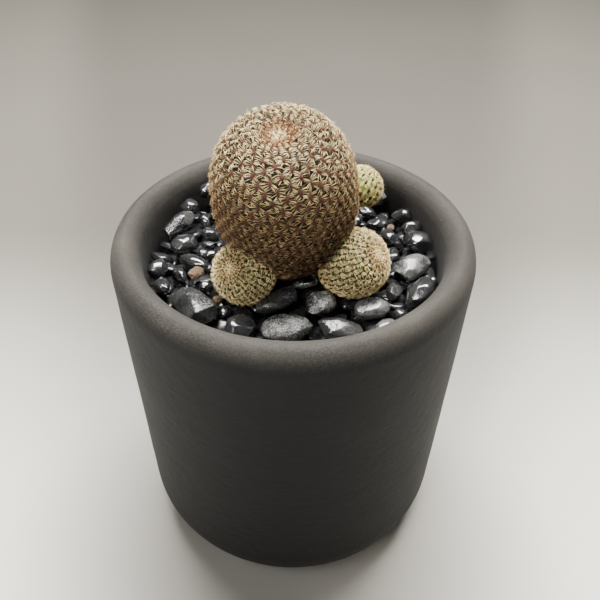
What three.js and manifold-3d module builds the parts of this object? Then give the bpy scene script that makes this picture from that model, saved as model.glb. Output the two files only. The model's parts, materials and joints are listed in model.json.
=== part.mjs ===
// A potted round cactus: one large ball stem with three offsets, planted in a straight black pot
// and dressed with polished black pebbles.
// Millimetres, +Z up. The origin is the centre of the pot's foot, and the plant leans to its front, -Y.

import * as THREE from 'three';
import { ConvexGeometry } from 'three/addons/geometries/ConvexGeometry.js';
import { mergeVertices } from 'three/addons/utils/BufferGeometryUtils.js';
import Module from 'manifold-3d';

const wasm = await Module();
wasm.setup();

// Driving dimensions of the pot
const RIM_RADIUS = 40;
const FOOT_RADIUS = 39;
const POT_HEIGHT = 87;
const WALL = 6.4;
const RIM_ROUND_HEIGHT = 5;
const HEEL_ROUND = 15;
const FLOOR_THICKNESS = 8;
const INNER_ROUND = 9;
const FOOT_RING_RADIUS = 19;
const FOOT_RECESS = 1.6;
const DRAIN_HOLE_RADIUS = 5;

// Driving dimensions of what fills the pot
const GAP = 0.3;
const SOIL_TOP = 69;
const GRAVEL_TOP = 77;
const GRAVEL_MOUND_HEIGHT = 1.1;
const GRAVEL_MOUND_RADIUS = 17;
const GRAVEL_MOUND_EDGE = 24;
const DRAIN_MESH_RADIUS = 10;
const DRAIN_MESH_THICKNESS = 0.9;
const DRAIN_MESH_PITCH = 3.6;
const DRAIN_MESH_OPENING = 2.3;

// Driving dimensions of the plant: each stem is a rounded barrel about a leaning axis.
// `centre` is a point on its widest ring, and `axis` points from its base to its growing tip.
const MAIN_STEM = {
  centre: [-1.7, -4.4, 95.9],
  axis: [-0.06, -0.296, 0.953],
  radius: 14.6,
  topHeight: 19.2,
  baseHeight: 17.4,
  squareness: 2.7,
  baseNarrowing: 0.26,
  dimple: 1.0,
};
const OFFSETS = {
  offset_front_left: {
    centre: [-10.0, -13.3, 84.3],
    axis: [-0.42, -0.62, 0.66],
    radius: 6.0,
    topHeight: 6.0,
    baseHeight: 6.0,
    squareness: 2.2,
    baseNarrowing: 0.25,
    dimple: 0.3,
  },
  offset_front_right: {
    centre: [12.3, -10.8, 84.9],
    axis: [0.68, -0.36, 0.64],
    radius: 6.7,
    topHeight: 6.9,
    baseHeight: 7.6,
    squareness: 2.2,
    baseNarrowing: 0.25,
    dimple: 0.35,
  },
  offset_back_right: {
    centre: [14.4, 3.9, 94.4],
    axis: [0.6, 0.42, 0.68],
    radius: 4.1,
    topHeight: 4.2,
    baseHeight: 4.4,
    squareness: 2.1,
    baseNarrowing: 0.1,
    dimple: 0.1,
  },
};
// How quickly a stem's base narrows, and how tightly its dimple closes
const NARROWING_POWER = 1.5;
const DIMPLE_TIGHTNESS = 4;
const ROOT_NECK_TOP_RADIUS = 6;
const ROOT_NECK_RADIUS = 5;
const TAPROOT_TIP_RADIUS = 1.6;
const TAPROOT_TIP_Z = 48;
const TAPROOT_FULLNESS = 0.45;
// How far the root neck reaches up into the main stem, at its rim and at its middle
const ROOT_NECK_RIM_REACH = 1;
const ROOT_NECK_MIDDLE_REACH = 3;

// The pebbles that lie on top. Each row is the place of its middle (x, y), its length, width and
// thickness, the turn of its length from +X in degrees, and how square its outline is (2 is an
// ellipse). They are laid in this order, so a later one leans on the earlier ones.
const FRONT_PEBBLES = [
  [-1.3, -24.8, 10.6, 6.6, 4.8, 5, 2.8],
  [-10.4, -24.6, 6.8, 6.0, 4.4, 30, 3.2],
  [9.2, -25.0, 10.0, 5.4, 4.0, 8, 3.0],
  [15.9, -18.4, 8.4, 5.4, 4.2, 10, 2.4],
  [-13.8, -18.7, 3.6, 2.6, 2.2, 60, 2.3],
  [2.3, -10.6, 6.0, 3.2, 2.4, -5, 2.5],
  [-4.6, -17.5, 11.4, 6.4, 4.0, 40, 2.3],
  [5.7, -18.6, 10.0, 6.0, 4.2, 62, 2.3],
  [18.4, -23.8, 5.6, 4.0, 3.4, 35, 2.4],
];
const RIGHT_PEBBLES = [
  [20.8, -13.4, 6.6, 3.4, 3.8, 74, 2.5],
  [27.0, -14.4, 8.6, 5.4, 4.6, 44, 2.6],
  [26.1, -4.8, 10.6, 5.8, 4.8, 38, 2.8],
  [28.7, 4.6, 6.6, 6.0, 5.0, 20, 2.3],
  [27.9, 10.4, 5.4, 4.4, 4.2, 60, 2.4],
  [26.2, 15.6, 5.0, 3.8, 4.0, -34, 3.2],
  [22.2, 7.2, 6.0, 3.6, 3.4, -60, 2.4],
  [19.4, 3.2, 4.2, 3.0, 2.8, 20, 2.3],
  [19.7, 12.0, 4.6, 3.6, 3.2, 10, 2.4],
  [15.0, 13.6, 5.4, 3.2, 3.0, 70, 2.4],
  [18.0, 18.0, 5.6, 3.6, 3.2, -15, 2.4],
  [20.8, 23.2, 8.6, 5.2, 4.4, -60, 2.6],
  [21.0, -1.6, 3.0, 2.6, 2.4, 0, 2.3],
  [30.9, -9.4, 3.2, 2.4, 3.0, 70, 2.5],
  [21.9, -18.4, 3.2, 2.8, 2.4, 30, 2.3],
];
const LEFT_PEBBLES = [
  [-20.5, -18.2, 14.2, 6.8, 4.6, -50, 3.4],
  [-27.4, -13.6, 7.6, 3.4, 3.6, -62, 2.6],
  [-30.0, -5.9, 6.0, 4.4, 4.4, 80, 2.4],
  [-22.0, -3.4, 8.8, 3.4, 3.6, -33, 2.4],
  [-25.6, -7.0, 5.0, 2.6, 2.8, -50, 2.4],
  [-25.1, 3.6, 7.6, 5.4, 4.4, 40, 2.5],
  [-27.6, 9.0, 10.6, 5.2, 4.6, 26, 2.6],
  [-19.1, 6.1, 5.0, 4.2, 3.6, 20, 3.0],
  [-18.9, -0.8, 3.4, 2.6, 2.4, 0, 2.3],
  [-21.6, 14.0, 4.8, 2.4, 3.4, -75, 2.4],
  [-25.0, 15.6, 5.2, 4.2, 4.2, -50, 3.2],
  [-18.2, 18.6, 7.4, 3.8, 4.2, 84, 2.5],
  [-20.6, 24.0, 7.4, 5.0, 4.6, 30, 2.4],
  [-18.7, -11.0, 3.2, 2.8, 2.4, 20, 2.3],
];
const BACK_PEBBLE_COUNT = 9;
const BACK_PEBBLE_LENGTHS = [6, 9.5];
const BACK_PEBBLE_BEARINGS = [56, 122];
const BACK_PEBBLE_RADII = [28.2, 21.2];
const BACK_PEBBLE_WIDTH_SHARES = [0.62, 0.78];
const BACK_PEBBLE_THICKNESS_SHARE = 0.78;
const BACK_PEBBLE_SQUARENESS = 2.4;
const SUBSTRATE_GRAINS = [
  [-16.2, -15.9, 2.6, 2.2, 2.0, 10, 3.2],
  [-20.8, -8.8, 3.8, 3.0, 2.4, 35, 3.2],
  [22.6, 12.8, 2.8, 1.9, 1.8, 80, 3.2],
];

// How a stone's hull strays from a squared-off ellipsoid
const STONE_TAPER = 0.36;
const STONE_BEND = 0.16;
const STONE_BEND_MIDDLE = 0.4;
const STONE_FLAT_COUNT = 5;
const STONE_FLAT_STEEPNESS = 1.4;
const STONE_FLAT_DEPTH = 0.8;
const STONE_FLAT_DEPTH_RANGE = 0.14;
const STONE_FLATNESS = 0.85;
const STONE_EDGE_POWER = 2.2;

// How finely the shapes are cut
const POT_SEGMENTS = 64;
const HEEL_STEPS = 6;
const RIM_STEPS = 10;
const INNER_ROUND_STEPS = 4;
const FILL_SEGMENTS = 36;
const DRAIN_MESH_SEGMENTS = 36;
const DRAIN_MESH_CUT_HEIGHT = 4;
const STEM_SEGMENTS = 32;
const OFFSET_SEGMENTS = 20;
const STEM_ROWS_PER_SEGMENT = 0.6;
const ROOT_SEGMENTS = 20;
const PEBBLE_POINTS = 44;
const GRAIN_POINTS = 20;
const MERGE_DISTANCE = 1e-4;

// How the pebbles are laid: a height map of the bed in square cells, and the leans and small
// shifts that are tried for each pebble
const CELL = 0.4;
const BED_HALF_WIDTH = 35;
const LEANS = [0, -8, 8, -16, 16, -26, 26];
const SHIFT_CELLS = [0, -1, 1, -2, 2, -4, 4, -6, 6];
const SHIFT_COST = 1.8;
const LEAN_COST = 0.012;
const UNDERSIDE_COST = 0.5;
const CELL_SLACK = 0.05;
const SMALLEST_AREA = 1e-9;

// The random numbers: a linear congruential generator, and the seeds that it starts from
const RANDOM_MULTIPLIER = 1664525;
const RANDOM_INCREMENT = 1013904223;
const RANDOM_RANGE = 4294967296;
const STONE_SEED_STRIDE = 7919;
const BACK_PEBBLE_SEED = 4099;

const clayBlack = { color: 0x2b2b2b, roughness: 0.62, metalness: 0 };
const meshGrey = { color: 0x3a3c3b, roughness: 0.7, metalness: 0 };
const soilBrown = { color: 0x3b2c20, roughness: 0.95, metalness: 0 };
const gravelBlack = { color: 0x101112, roughness: 0.45, metalness: 0 };
const pebbleBlack = { color: 0x17181a, roughness: 0.22, metalness: 0 };
const grainTan = { color: 0xb98d5c, roughness: 0.85, metalness: 0 };
const stemGreen = { color: 0xa39a76, roughness: 0.8, metalness: 0 };
const youngGreen = { color: 0x8aa35a, roughness: 0.7, metalness: 0 };

// ---------------------------------------------------------------- solids

// A closed geometry as a solid that can be cut and joined.
function toSolid(geometry) {
  const bare = geometry.clone();
  bare.deleteAttribute('normal');
  bare.deleteAttribute('uv');
  const merged = mergeVertices(bare, MERGE_DISTANCE);
  const index = merged.index.array;
  const kept = [];
  for (let t = 0; t < index.length; t += 3) {
    const [a, b, c] = [index[t], index[t + 1], index[t + 2]];
    if (a !== b && b !== c && c !== a) {
      kept.push(a, b, c);
    }
  }
  return new wasm.Manifold(new wasm.Mesh({
    numProp: 3,
    vertProperties: Float32Array.from(merged.attributes.position.array),
    triVerts: Uint32Array.from(kept),
  }));
}

function toGeometry(solid) {
  const mesh = solid.getMesh();
  const geometry = new THREE.BufferGeometry();
  geometry.setAttribute('position', new THREE.BufferAttribute(mesh.vertProperties, 3));
  geometry.setIndex(new THREE.BufferAttribute(mesh.triVerts, 1));
  geometry.computeVertexNormals();
  return geometry;
}

// A profile of [radius, height] points turned about +Z. It runs from the bottom up the outside.
function turned(profile, segments) {
  const points = profile.map(([radius, height]) => new THREE.Vector2(radius, height));
  const geometry = new THREE.LatheGeometry(points, segments);
  geometry.rotateX(Math.PI / 2);
  return geometry;
}

// Points on an elliptical arc about (r, z), from one angle to another in degrees.
function arc(r, z, radiusR, radiusZ, fromDegrees, toDegrees, steps) {
  const points = [];
  for (let i = 0; i <= steps; i += 1) {
    const angle = THREE.MathUtils.degToRad(fromDegrees + (toDegrees - fromDegrees) * i / steps);
    points.push([r + radiusR * Math.cos(angle), z + radiusZ * Math.sin(angle)]);
  }
  return points;
}

// ---------------------------------------------------------------- pot and fill

// The outside radius of the pot at a height.
function outerRadius(z) {
  return FOOT_RADIUS + (RIM_RADIUS - FOOT_RADIUS) * z / POT_HEIGHT;
}

// The inside radius of the pot at a height, above its rounded floor.
function innerRadius(z) {
  return outerRadius(z) - WALL;
}

function potGeometry() {
  const rimZ = POT_HEIGHT - RIM_ROUND_HEIGHT;
  const heelR = outerRadius(HEEL_ROUND) - HEEL_ROUND;
  const innerFloorZ = FLOOR_THICKNESS + INNER_ROUND;
  const innerFloorR = innerRadius(innerFloorZ) - INNER_ROUND;
  const rimR = (outerRadius(rimZ) + innerRadius(rimZ)) / 2;
  const profile = [
    [DRAIN_HOLE_RADIUS, FOOT_RECESS],
    [FOOT_RING_RADIUS - FOOT_RECESS, FOOT_RECESS],
    [FOOT_RING_RADIUS, 0],
    ...arc(heelR, HEEL_ROUND, HEEL_ROUND, HEEL_ROUND, -90, 0, HEEL_STEPS),
    ...arc(rimR, rimZ, outerRadius(rimZ) - rimR, RIM_ROUND_HEIGHT, 0, 180, RIM_STEPS),
    ...arc(innerFloorR, innerFloorZ, INNER_ROUND, INNER_ROUND, 0, -90, INNER_ROUND_STEPS),
    [DRAIN_HOLE_RADIUS, FLOOR_THICKNESS],
    [DRAIN_HOLE_RADIUS, FOOT_RECESS],
  ];
  return toGeometry(toSolid(turned(profile, POT_SEGMENTS)));
}

// A woven disc that keeps the soil from washing out of the drain hole.
function drainMeshGeometry() {
  const bottom = FLOOR_THICKNESS + GAP;
  const top = bottom + DRAIN_MESH_THICKNESS;
  const profile = [[0, bottom], [DRAIN_MESH_RADIUS, bottom], [DRAIN_MESH_RADIUS, top], [0, top]];
  let disc = toSolid(turned(profile, DRAIN_MESH_SEGMENTS));
  const reach = DRAIN_MESH_RADIUS - DRAIN_MESH_OPENING;
  const steps = Math.floor(reach / DRAIN_MESH_PITCH);
  for (let i = -steps; i <= steps; i += 1) {
    for (let j = -steps; j <= steps; j += 1) {
      if (Math.hypot(i, j) * DRAIN_MESH_PITCH <= reach) {
        const hole = new THREE.BoxGeometry(
          DRAIN_MESH_OPENING, DRAIN_MESH_OPENING, DRAIN_MESH_CUT_HEIGHT);
        hole.translate(i * DRAIN_MESH_PITCH, j * DRAIN_MESH_PITCH, bottom);
        disc = disc.subtract(toSolid(hole));
      }
    }
  }
  return toGeometry(disc);
}

function soilGeometry() {
  const floor = FLOOR_THICKNESS + GAP;
  const round = INNER_ROUND;
  const meshTop = floor + DRAIN_MESH_THICKNESS + GAP;
  const roundR = innerRadius(floor + round) - GAP - round;
  const profile = [
    [0, meshTop],
    [DRAIN_MESH_RADIUS + GAP, meshTop],
    [DRAIN_MESH_RADIUS + GAP, floor],
    ...arc(roundR, floor + round, round, round, -90, 0, INNER_ROUND_STEPS),
    [innerRadius(SOIL_TOP) - GAP, SOIL_TOP],
    [0, SOIL_TOP],
  ];
  return toGeometry(toSolid(turned(profile, FILL_SEGMENTS)).subtract(rootSolid(GAP)));
}

// The mass of small pebbles under the top ones, heaped a little round the plant.
function gravelGeometry() {
  const wallR = (z) => innerRadius(z) - GAP;
  const bottom = SOIL_TOP + GAP;
  const profile = [
    [0, bottom],
    [wallR(bottom), bottom],
    [wallR(GRAVEL_TOP), GRAVEL_TOP],
    [GRAVEL_MOUND_EDGE, GRAVEL_TOP],
    [GRAVEL_MOUND_RADIUS, GRAVEL_TOP + GRAVEL_MOUND_HEIGHT],
    [0, GRAVEL_TOP + GRAVEL_MOUND_HEIGHT],
  ];
  const gravel = toSolid(turned(profile, FILL_SEGMENTS));
  const hollows = [stemSolid(MAIN_STEM, GAP, STEM_SEGMENTS), rootSolid(GAP)];
  for (const stem of Object.values(OFFSETS)) {
    hollows.push(stemSolid(stem, GAP, OFFSET_SEGMENTS));
  }
  return toGeometry(hollows.reduce((rest, hollow) => rest.subtract(hollow), gravel));
}

// ---------------------------------------------------------------- plant

// One barrel-shaped stem, grown by a margin all round.
function stemSolid(stem, margin, segments) {
  const radius = stem.radius + margin;
  const steps = Math.round(segments * STEM_ROWS_PER_SEGMENT);
  const profile = [];
  for (let i = 0; i <= steps; i += 1) {
    const angle = -Math.PI / 2 + Math.PI * i / steps;
    const power = 2 / stem.squareness;
    const across = Math.max(0, Math.cos(angle)) ** power;
    const along = Math.sign(Math.sin(angle)) * Math.abs(Math.sin(angle)) ** power;
    const narrowing = 1 - stem.baseNarrowing * Math.max(0, -along) ** NARROWING_POWER;
    const height = (along > 0 ? stem.topHeight : stem.baseHeight) + margin;
    const sink = along > 0 ? stem.dimple * Math.exp(-((DIMPLE_TIGHTNESS * across) ** 2)) : 0;
    const onAxis = i === 0 || i === steps;
    profile.push([onAxis ? 0 : radius * across * narrowing, height * along - sink]);
  }
  const geometry = turned(profile, segments);
  const axis = new THREE.Vector3(...stem.axis).normalize();
  const turn = new THREE.Quaternion().setFromUnitVectors(new THREE.Vector3(0, 0, 1), axis);
  geometry.applyQuaternion(turn);
  geometry.translate(...stem.centre);
  return toSolid(geometry);
}

// The narrow neck below the main stem and the taproot that it ends in.
function rootSolid(margin) {
  const axis = new THREE.Vector3(...MAIN_STEM.axis).normalize();
  const base = new THREE.Vector3(...MAIN_STEM.centre).addScaledVector(axis, -MAIN_STEM.baseHeight);
  const middleRadius = (TAPROOT_TIP_RADIUS + ROOT_NECK_RADIUS) * TAPROOT_FULLNESS;
  const profile = [
    [0, TAPROOT_TIP_Z - margin],
    [TAPROOT_TIP_RADIUS + margin, TAPROOT_TIP_Z - margin],
    [middleRadius + margin, (TAPROOT_TIP_Z + SOIL_TOP) / 2],
    [ROOT_NECK_RADIUS + margin, SOIL_TOP],
    [ROOT_NECK_TOP_RADIUS + margin, base.z + ROOT_NECK_RIM_REACH],
    [0, base.z + ROOT_NECK_MIDDLE_REACH],
  ];
  const geometry = turned(profile, ROOT_SEGMENTS);
  geometry.translate(base.x, base.y, 0);
  return toSolid(geometry);
}

function mainStemSolid() {
  return stemSolid(MAIN_STEM, 0, STEM_SEGMENTS).add(rootSolid(0));
}

// An offset ends where it meets the main stem.
function offsetSolid(stem) {
  const whole = stemSolid(stem, 0, OFFSET_SEGMENTS);
  return whole.subtract(stemSolid(MAIN_STEM, GAP, STEM_SEGMENTS));
}

// ---------------------------------------------------------------- pebbles

// Repeatable random numbers from 0 to 1.
function randomSource(seed) {
  let state = seed;
  return () => {
    state = (state * RANDOM_MULTIPLIER + RANDOM_INCREMENT) % RANDOM_RANGE;
    return state / RANDOM_RANGE;
  };
}

// A tumbled stone about the origin: the hull of points spread over a squared-off ellipsoid, with a
// taper along its length, a bulge to one side and a few worn flats.
function stoneGeometry(length, width, thickness, squareness, pointCount, random) {
  const eitherWay = () => random() - 0.5;
  const taper = eitherWay() * STONE_TAPER;
  const bend = eitherWay() * STONE_BEND;
  const flats = [];
  for (let i = 0; i < STONE_FLAT_COUNT; i += 1) {
    const direction = new THREE.Vector3(eitherWay(), eitherWay(), eitherWay() * STONE_FLAT_STEEPNESS);
    const depth = STONE_FLAT_DEPTH + STONE_FLAT_DEPTH_RANGE * random();
    flats.push({ direction: direction.normalize(), depth });
  }
  const goldenAngle = Math.PI * (3 - Math.sqrt(5));
  const points = [];
  for (let i = 0; i < pointCount; i += 1) {
    const z = 1 - 2 * (i + 0.5) / pointCount;
    const ring = Math.sqrt(1 - z * z);
    const turn = i * goldenAngle;
    const point = new THREE.Vector3(ring * Math.cos(turn), ring * Math.sin(turn), z);
    const sum = Math.abs(point.x) ** squareness + Math.abs(point.y) ** squareness;
    const outline = sum ** (1 / squareness);
    const reach = outline ** STONE_EDGE_POWER + Math.abs(point.z) ** STONE_EDGE_POWER;
    point.divideScalar(reach ** (1 / STONE_EDGE_POWER));
    for (const flat of flats) {
      const over = point.dot(flat.direction) - flat.depth;
      if (over > 0) {
        point.addScaledVector(flat.direction, -STONE_FLATNESS * over);
      }
    }
    const bow = bend * (point.x * point.x - STONE_BEND_MIDDLE);
    const side = point.y * (1 + taper * point.x) + bow;
    const shaped = new THREE.Vector3(point.x * length, side * width, point.z * thickness);
    points.push(shaped.multiplyScalar(0.5));
  }
  return toGeometry(toSolid(new ConvexGeometry(points)));
}

const cellCount = Math.round(2 * BED_HALF_WIDTH / CELL);
const cellOf = (x) => Math.floor((x + BED_HALF_WIDTH) / CELL);

// The highest and the lowest point of a closed geometry over each cell of the bed that it covers.
function heightMap(geometry) {
  const position = geometry.attributes.position;
  const index = geometry.index.array;
  const corners = [new THREE.Vector3(), new THREE.Vector3(), new THREE.Vector3()];
  const found = new Map();
  for (let t = 0; t < index.length; t += 3) {
    corners.forEach((corner, k) => corner.fromBufferAttribute(position, index[t + k]));
    const [a, b, c] = corners;
    const area = (b.x - a.x) * (c.y - a.y) - (c.x - a.x) * (b.y - a.y);
    if (Math.abs(area) < SMALLEST_AREA) {
      continue;
    }
    const lowX = cellOf(Math.min(a.x, b.x, c.x));
    const highX = cellOf(Math.max(a.x, b.x, c.x));
    const lowY = cellOf(Math.min(a.y, b.y, c.y));
    const highY = cellOf(Math.max(a.y, b.y, c.y));
    for (let i = lowX; i <= highX; i += 1) {
      for (let j = lowY; j <= highY; j += 1) {
        const x = (i + 0.5) * CELL - BED_HALF_WIDTH;
        const y = (j + 0.5) * CELL - BED_HALF_WIDTH;
        const u = ((x - a.x) * (c.y - a.y) - (c.x - a.x) * (y - a.y)) / area;
        const v = ((b.x - a.x) * (y - a.y) - (x - a.x) * (b.y - a.y)) / area;
        if (u < -CELL_SLACK || v < -CELL_SLACK || u + v > 1 + CELL_SLACK) {
          continue;
        }
        const z = a.z + u * (b.z - a.z) + v * (c.z - a.z);
        noteHeight(found, i, j, z, z);
      }
    }
  }
  return found;
}

// The same map with one more cell all round as clearance, as a list.
function clearMap(geometry) {
  const widened = new Map();
  for (const cell of heightMap(geometry).values()) {
    for (let di = -1; di <= 1; di += 1) {
      for (let dj = -1; dj <= 1; dj += 1) {
        noteHeight(widened, cell.i + di, cell.j + dj, cell.low, cell.high);
      }
    }
  }
  return [...widened.values()];
}

function noteHeight(cells, i, j, low, high) {
  const key = i * cellCount + j;
  const cell = cells.get(key);
  if (cell) {
    cell.low = Math.min(cell.low, low);
    cell.high = Math.max(cell.high, high);
  } else {
    cells.set(key, { i, j, low, high });
  }
}

// The bed that pebbles are laid on: `floor` is the top of what lies there, `ceiling` the underside
// of the plant above it.
const bed = {
  floor: new Float32Array(cellCount * cellCount),
  ceiling: new Float32Array(cellCount * cellCount).fill(Infinity),
};

function spreadGravel() {
  for (let i = 0; i < cellCount; i += 1) {
    for (let j = 0; j < cellCount; j += 1) {
      const radius = Math.hypot((i + 0.5) * CELL - BED_HALF_WIDTH, (j + 0.5) * CELL - BED_HALF_WIDTH);
      const heap = THREE.MathUtils.clamp(
        (GRAVEL_MOUND_EDGE - radius) / (GRAVEL_MOUND_EDGE - GRAVEL_MOUND_RADIUS), 0, 1);
      bed.floor[i * cellCount + j] = GRAVEL_TOP + GRAVEL_MOUND_HEIGHT * heap;
    }
  }
}

function hangOverBed(solid) {
  for (const cell of heightMap(toGeometry(solid)).values()) {
    const at = cell.i * cellCount + cell.j;
    bed.ceiling[at] = Math.min(bed.ceiling[at], cell.low);
  }
}

// How high a shape has to sit, shifted by whole cells, to lie on the bed without touching it, or
// null where the plant or the wall is in the way.
function restHeight(cells, shiftI, shiftJ) {
  let lift = -Infinity;
  for (const cell of cells) {
    const at = (cell.i + shiftI) * cellCount + cell.j + shiftJ;
    lift = Math.max(lift, bed.floor[at] + GAP - cell.low);
  }
  for (const cell of cells) {
    const at = (cell.i + shiftI) * cellCount + cell.j + shiftJ;
    const x = (cell.i + shiftI + 0.5) * CELL - BED_HALF_WIDTH;
    const y = (cell.j + shiftJ + 0.5) * CELL - BED_HALF_WIDTH;
    const touchesWall = Math.hypot(x, y) > innerRadius(GRAVEL_TOP) - GAP;
    if (touchesWall || cell.high + lift > bed.ceiling[at] - GAP) {
      return null;
    }
  }
  return lift;
}

// Lays one stone at the lowest place that it finds near where it belongs, and returns it in place.
function layStone(stone, x, y, turnDegrees) {
  let best = null;
  for (const leanLength of LEANS) {
    for (const leanWidth of LEANS) {
      const leaned = stone.clone();
      leaned.rotateY(THREE.MathUtils.degToRad(leanLength));
      leaned.rotateX(THREE.MathUtils.degToRad(leanWidth));
      leaned.rotateZ(THREE.MathUtils.degToRad(turnDegrees));
      leaned.translate(x, y, 0);
      const cells = clearMap(leaned);
      const underside = cells.reduce((sum, cell) => sum + cell.low, 0) / cells.length;
      for (const shiftI of SHIFT_CELLS) {
        for (const shiftJ of SHIFT_CELLS) {
          const lift = restHeight(cells, shiftI, shiftJ);
          if (lift === null) {
            continue;
          }
          const shiftCost = SHIFT_COST * Math.hypot(shiftI, shiftJ) * CELL;
          const leanCost = LEAN_COST * (Math.abs(leanLength) + Math.abs(leanWidth));
          const cost = lift + UNDERSIDE_COST * underside + shiftCost + leanCost;
          if (best === null || cost < best.cost) {
            best = { cost, lift, shiftI, shiftJ, leaned, cells };
          }
        }
      }
    }
  }
  if (best === null) {
    return null;
  }
  best.leaned.translate(best.shiftI * CELL, best.shiftJ * CELL, best.lift);
  for (const cell of best.cells) {
    const at = (cell.i + best.shiftI) * cellCount + cell.j + best.shiftJ;
    bed.floor[at] = Math.max(bed.floor[at], cell.high + best.lift);
  }
  return best.leaned;
}

// ---------------------------------------------------------------- assembly

const group = new THREE.Group();

function addPart(name, geometry, finish) {
  const mesh = new THREE.Mesh(geometry, new THREE.MeshStandardMaterial(finish));
  mesh.name = name;
  group.add(mesh);
}

function addStones(prefix, rows, pointCount, finish, firstNumber) {
  rows.forEach(([x, y, length, width, thickness, turn, squareness], i) => {
    const number = firstNumber + i;
    const random = randomSource(number * STONE_SEED_STRIDE + prefix.length);
    const stone = stoneGeometry(length, width, thickness, squareness, pointCount, random);
    const laid = layStone(stone, x, y, turn);
    if (laid === null) {
      throw new Error(`${prefix} ${number} has no room at ${x}, ${y}`);
    }
    addPart(`${prefix}_${String(number).padStart(2, '0')}`, laid, finish);
  });
}

// Lays stones where the bed is still lowest behind the plant.
function addBackStones(firstNumber) {
  const random = randomSource(BACK_PEBBLE_SEED);
  const between = ([least, most], part) => least + (most - least) * part;
  const rows = [];
  for (let i = 0; i < BACK_PEBBLE_COUNT; i += 1) {
    const bearing = between(BACK_PEBBLE_BEARINGS, (i + 0.5) / BACK_PEBBLE_COUNT);
    const angle = THREE.MathUtils.degToRad(bearing);
    const radius = BACK_PEBBLE_RADII[i % BACK_PEBBLE_RADII.length];
    const length = between(BACK_PEBBLE_LENGTHS, random());
    const width = length * between(BACK_PEBBLE_WIDTH_SHARES, random());
    const thickness = width * BACK_PEBBLE_THICKNESS_SHARE;
    const turn = 180 * random();
    const place = [radius * Math.cos(angle), radius * Math.sin(angle)];
    rows.push([...place, length, width, thickness, turn, BACK_PEBBLE_SQUARENESS]);
  }
  addStones('pebble', rows, PEBBLE_POINTS, pebbleBlack, firstNumber);
}

addPart('pot', potGeometry(), clayBlack);
addPart('drain_mesh', drainMeshGeometry(), meshGrey);
addPart('potting_soil', soilGeometry(), soilBrown);
addPart('gravel_bed', gravelGeometry(), gravelBlack);

const mainStem = mainStemSolid();
addPart('main_stem', toGeometry(mainStem), stemGreen);
spreadGravel();
hangOverBed(mainStem);
for (const [name, stem] of Object.entries(OFFSETS)) {
  const offset = offsetSolid(stem);
  addPart(name, toGeometry(offset), name === 'offset_back_right' ? youngGreen : stemGreen);
  hangOverBed(offset);
}

const shownPebbles = [...FRONT_PEBBLES, ...RIGHT_PEBBLES, ...LEFT_PEBBLES];
addStones('pebble', shownPebbles, PEBBLE_POINTS, pebbleBlack, 1);
addBackStones(shownPebbles.length + 1);
addStones('substrate_grain', SUBSTRATE_GRAINS, GRAIN_POINTS, grainTan, 1);

export default group;
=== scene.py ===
import itertools
import json
import math

import bmesh
import bpy
import numpy as np
from bpy.props import FloatProperty, FloatVectorProperty, IntProperty, PointerProperty
from bpy.types import Operator, Panel, PropertyGroup
from mathutils import Matrix, Vector
from mathutils.kdtree import KDTree

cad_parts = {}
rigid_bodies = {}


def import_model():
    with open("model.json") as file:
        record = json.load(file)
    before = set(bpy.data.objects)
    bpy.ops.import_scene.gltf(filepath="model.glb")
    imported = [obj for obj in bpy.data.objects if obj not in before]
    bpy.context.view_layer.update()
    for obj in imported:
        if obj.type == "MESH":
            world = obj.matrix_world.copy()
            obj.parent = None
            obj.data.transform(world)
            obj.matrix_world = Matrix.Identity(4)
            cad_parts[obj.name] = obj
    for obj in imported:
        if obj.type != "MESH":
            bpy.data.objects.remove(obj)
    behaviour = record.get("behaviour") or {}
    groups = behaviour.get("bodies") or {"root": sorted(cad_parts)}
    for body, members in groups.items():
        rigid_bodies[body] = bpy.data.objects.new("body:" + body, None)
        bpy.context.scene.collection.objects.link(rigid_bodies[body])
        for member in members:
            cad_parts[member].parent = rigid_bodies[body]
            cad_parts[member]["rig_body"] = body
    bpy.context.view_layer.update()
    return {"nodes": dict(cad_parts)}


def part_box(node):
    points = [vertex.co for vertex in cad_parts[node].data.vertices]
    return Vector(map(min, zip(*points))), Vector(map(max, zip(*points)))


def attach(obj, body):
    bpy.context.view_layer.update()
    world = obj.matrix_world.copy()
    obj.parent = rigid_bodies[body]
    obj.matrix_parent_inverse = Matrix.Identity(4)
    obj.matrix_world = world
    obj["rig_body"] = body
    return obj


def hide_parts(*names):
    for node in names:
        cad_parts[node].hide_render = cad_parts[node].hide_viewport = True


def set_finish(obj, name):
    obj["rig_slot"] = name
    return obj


bl_info = {
    "name": "Potted round cactus",
    "version": (1, 0, 0),
    "blender": (4, 5, 0),
    "location": "3D View > Sidebar > Cactus",
    "description": "Grows a comb-spined ball cactus in a black clay pot dressed with polished pebbles",
    "category": "Add Mesh",
}

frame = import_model()

MM = 0.001
MM2 = MM * MM
GOLDEN_ANGLE = math.radians(137.508)
ROOT_BODY = "root"
PEBBLE_NODES = sorted(n for n in frame["nodes"] if n.startswith("pebble_"))
GRAIN_NODES = sorted(n for n in frame["nodes"] if n.startswith("substrate_grain_"))

# The sides of its solid's box that each stem's barrel touches, along x, y and z
MAIN_STEM_SIDES = ("mid", "mid", "high")
OFFSET_SIDES = {
    "offset_front_left": ("low", "low", "low"),
    "offset_front_right": ("high", "low", "low"),
    "offset_back_right": ("high", "high", "high"),
}

# The polishes of the black stones: roughness, fine relief, share of rubbed grey, strength of the pale
# specks painted as glints and of the highlights
POLISHES = {
    "loose_stone": (0.22, 0.25, 0.05, 0.0, 0.34),
    "glossy_stone": (0.17, 0.4, 0.1, 0.0, 0.8),
    "frosted_stone": (0.24, 2.0, 0.35, 0.4, 0.8),
    "satin_stone": (0.26, 0.7, 0.6, 0.08, 0.8),
    "grained_stone": (0.2, 1.2, 0.16, 0.06, 0.8),
}
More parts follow.
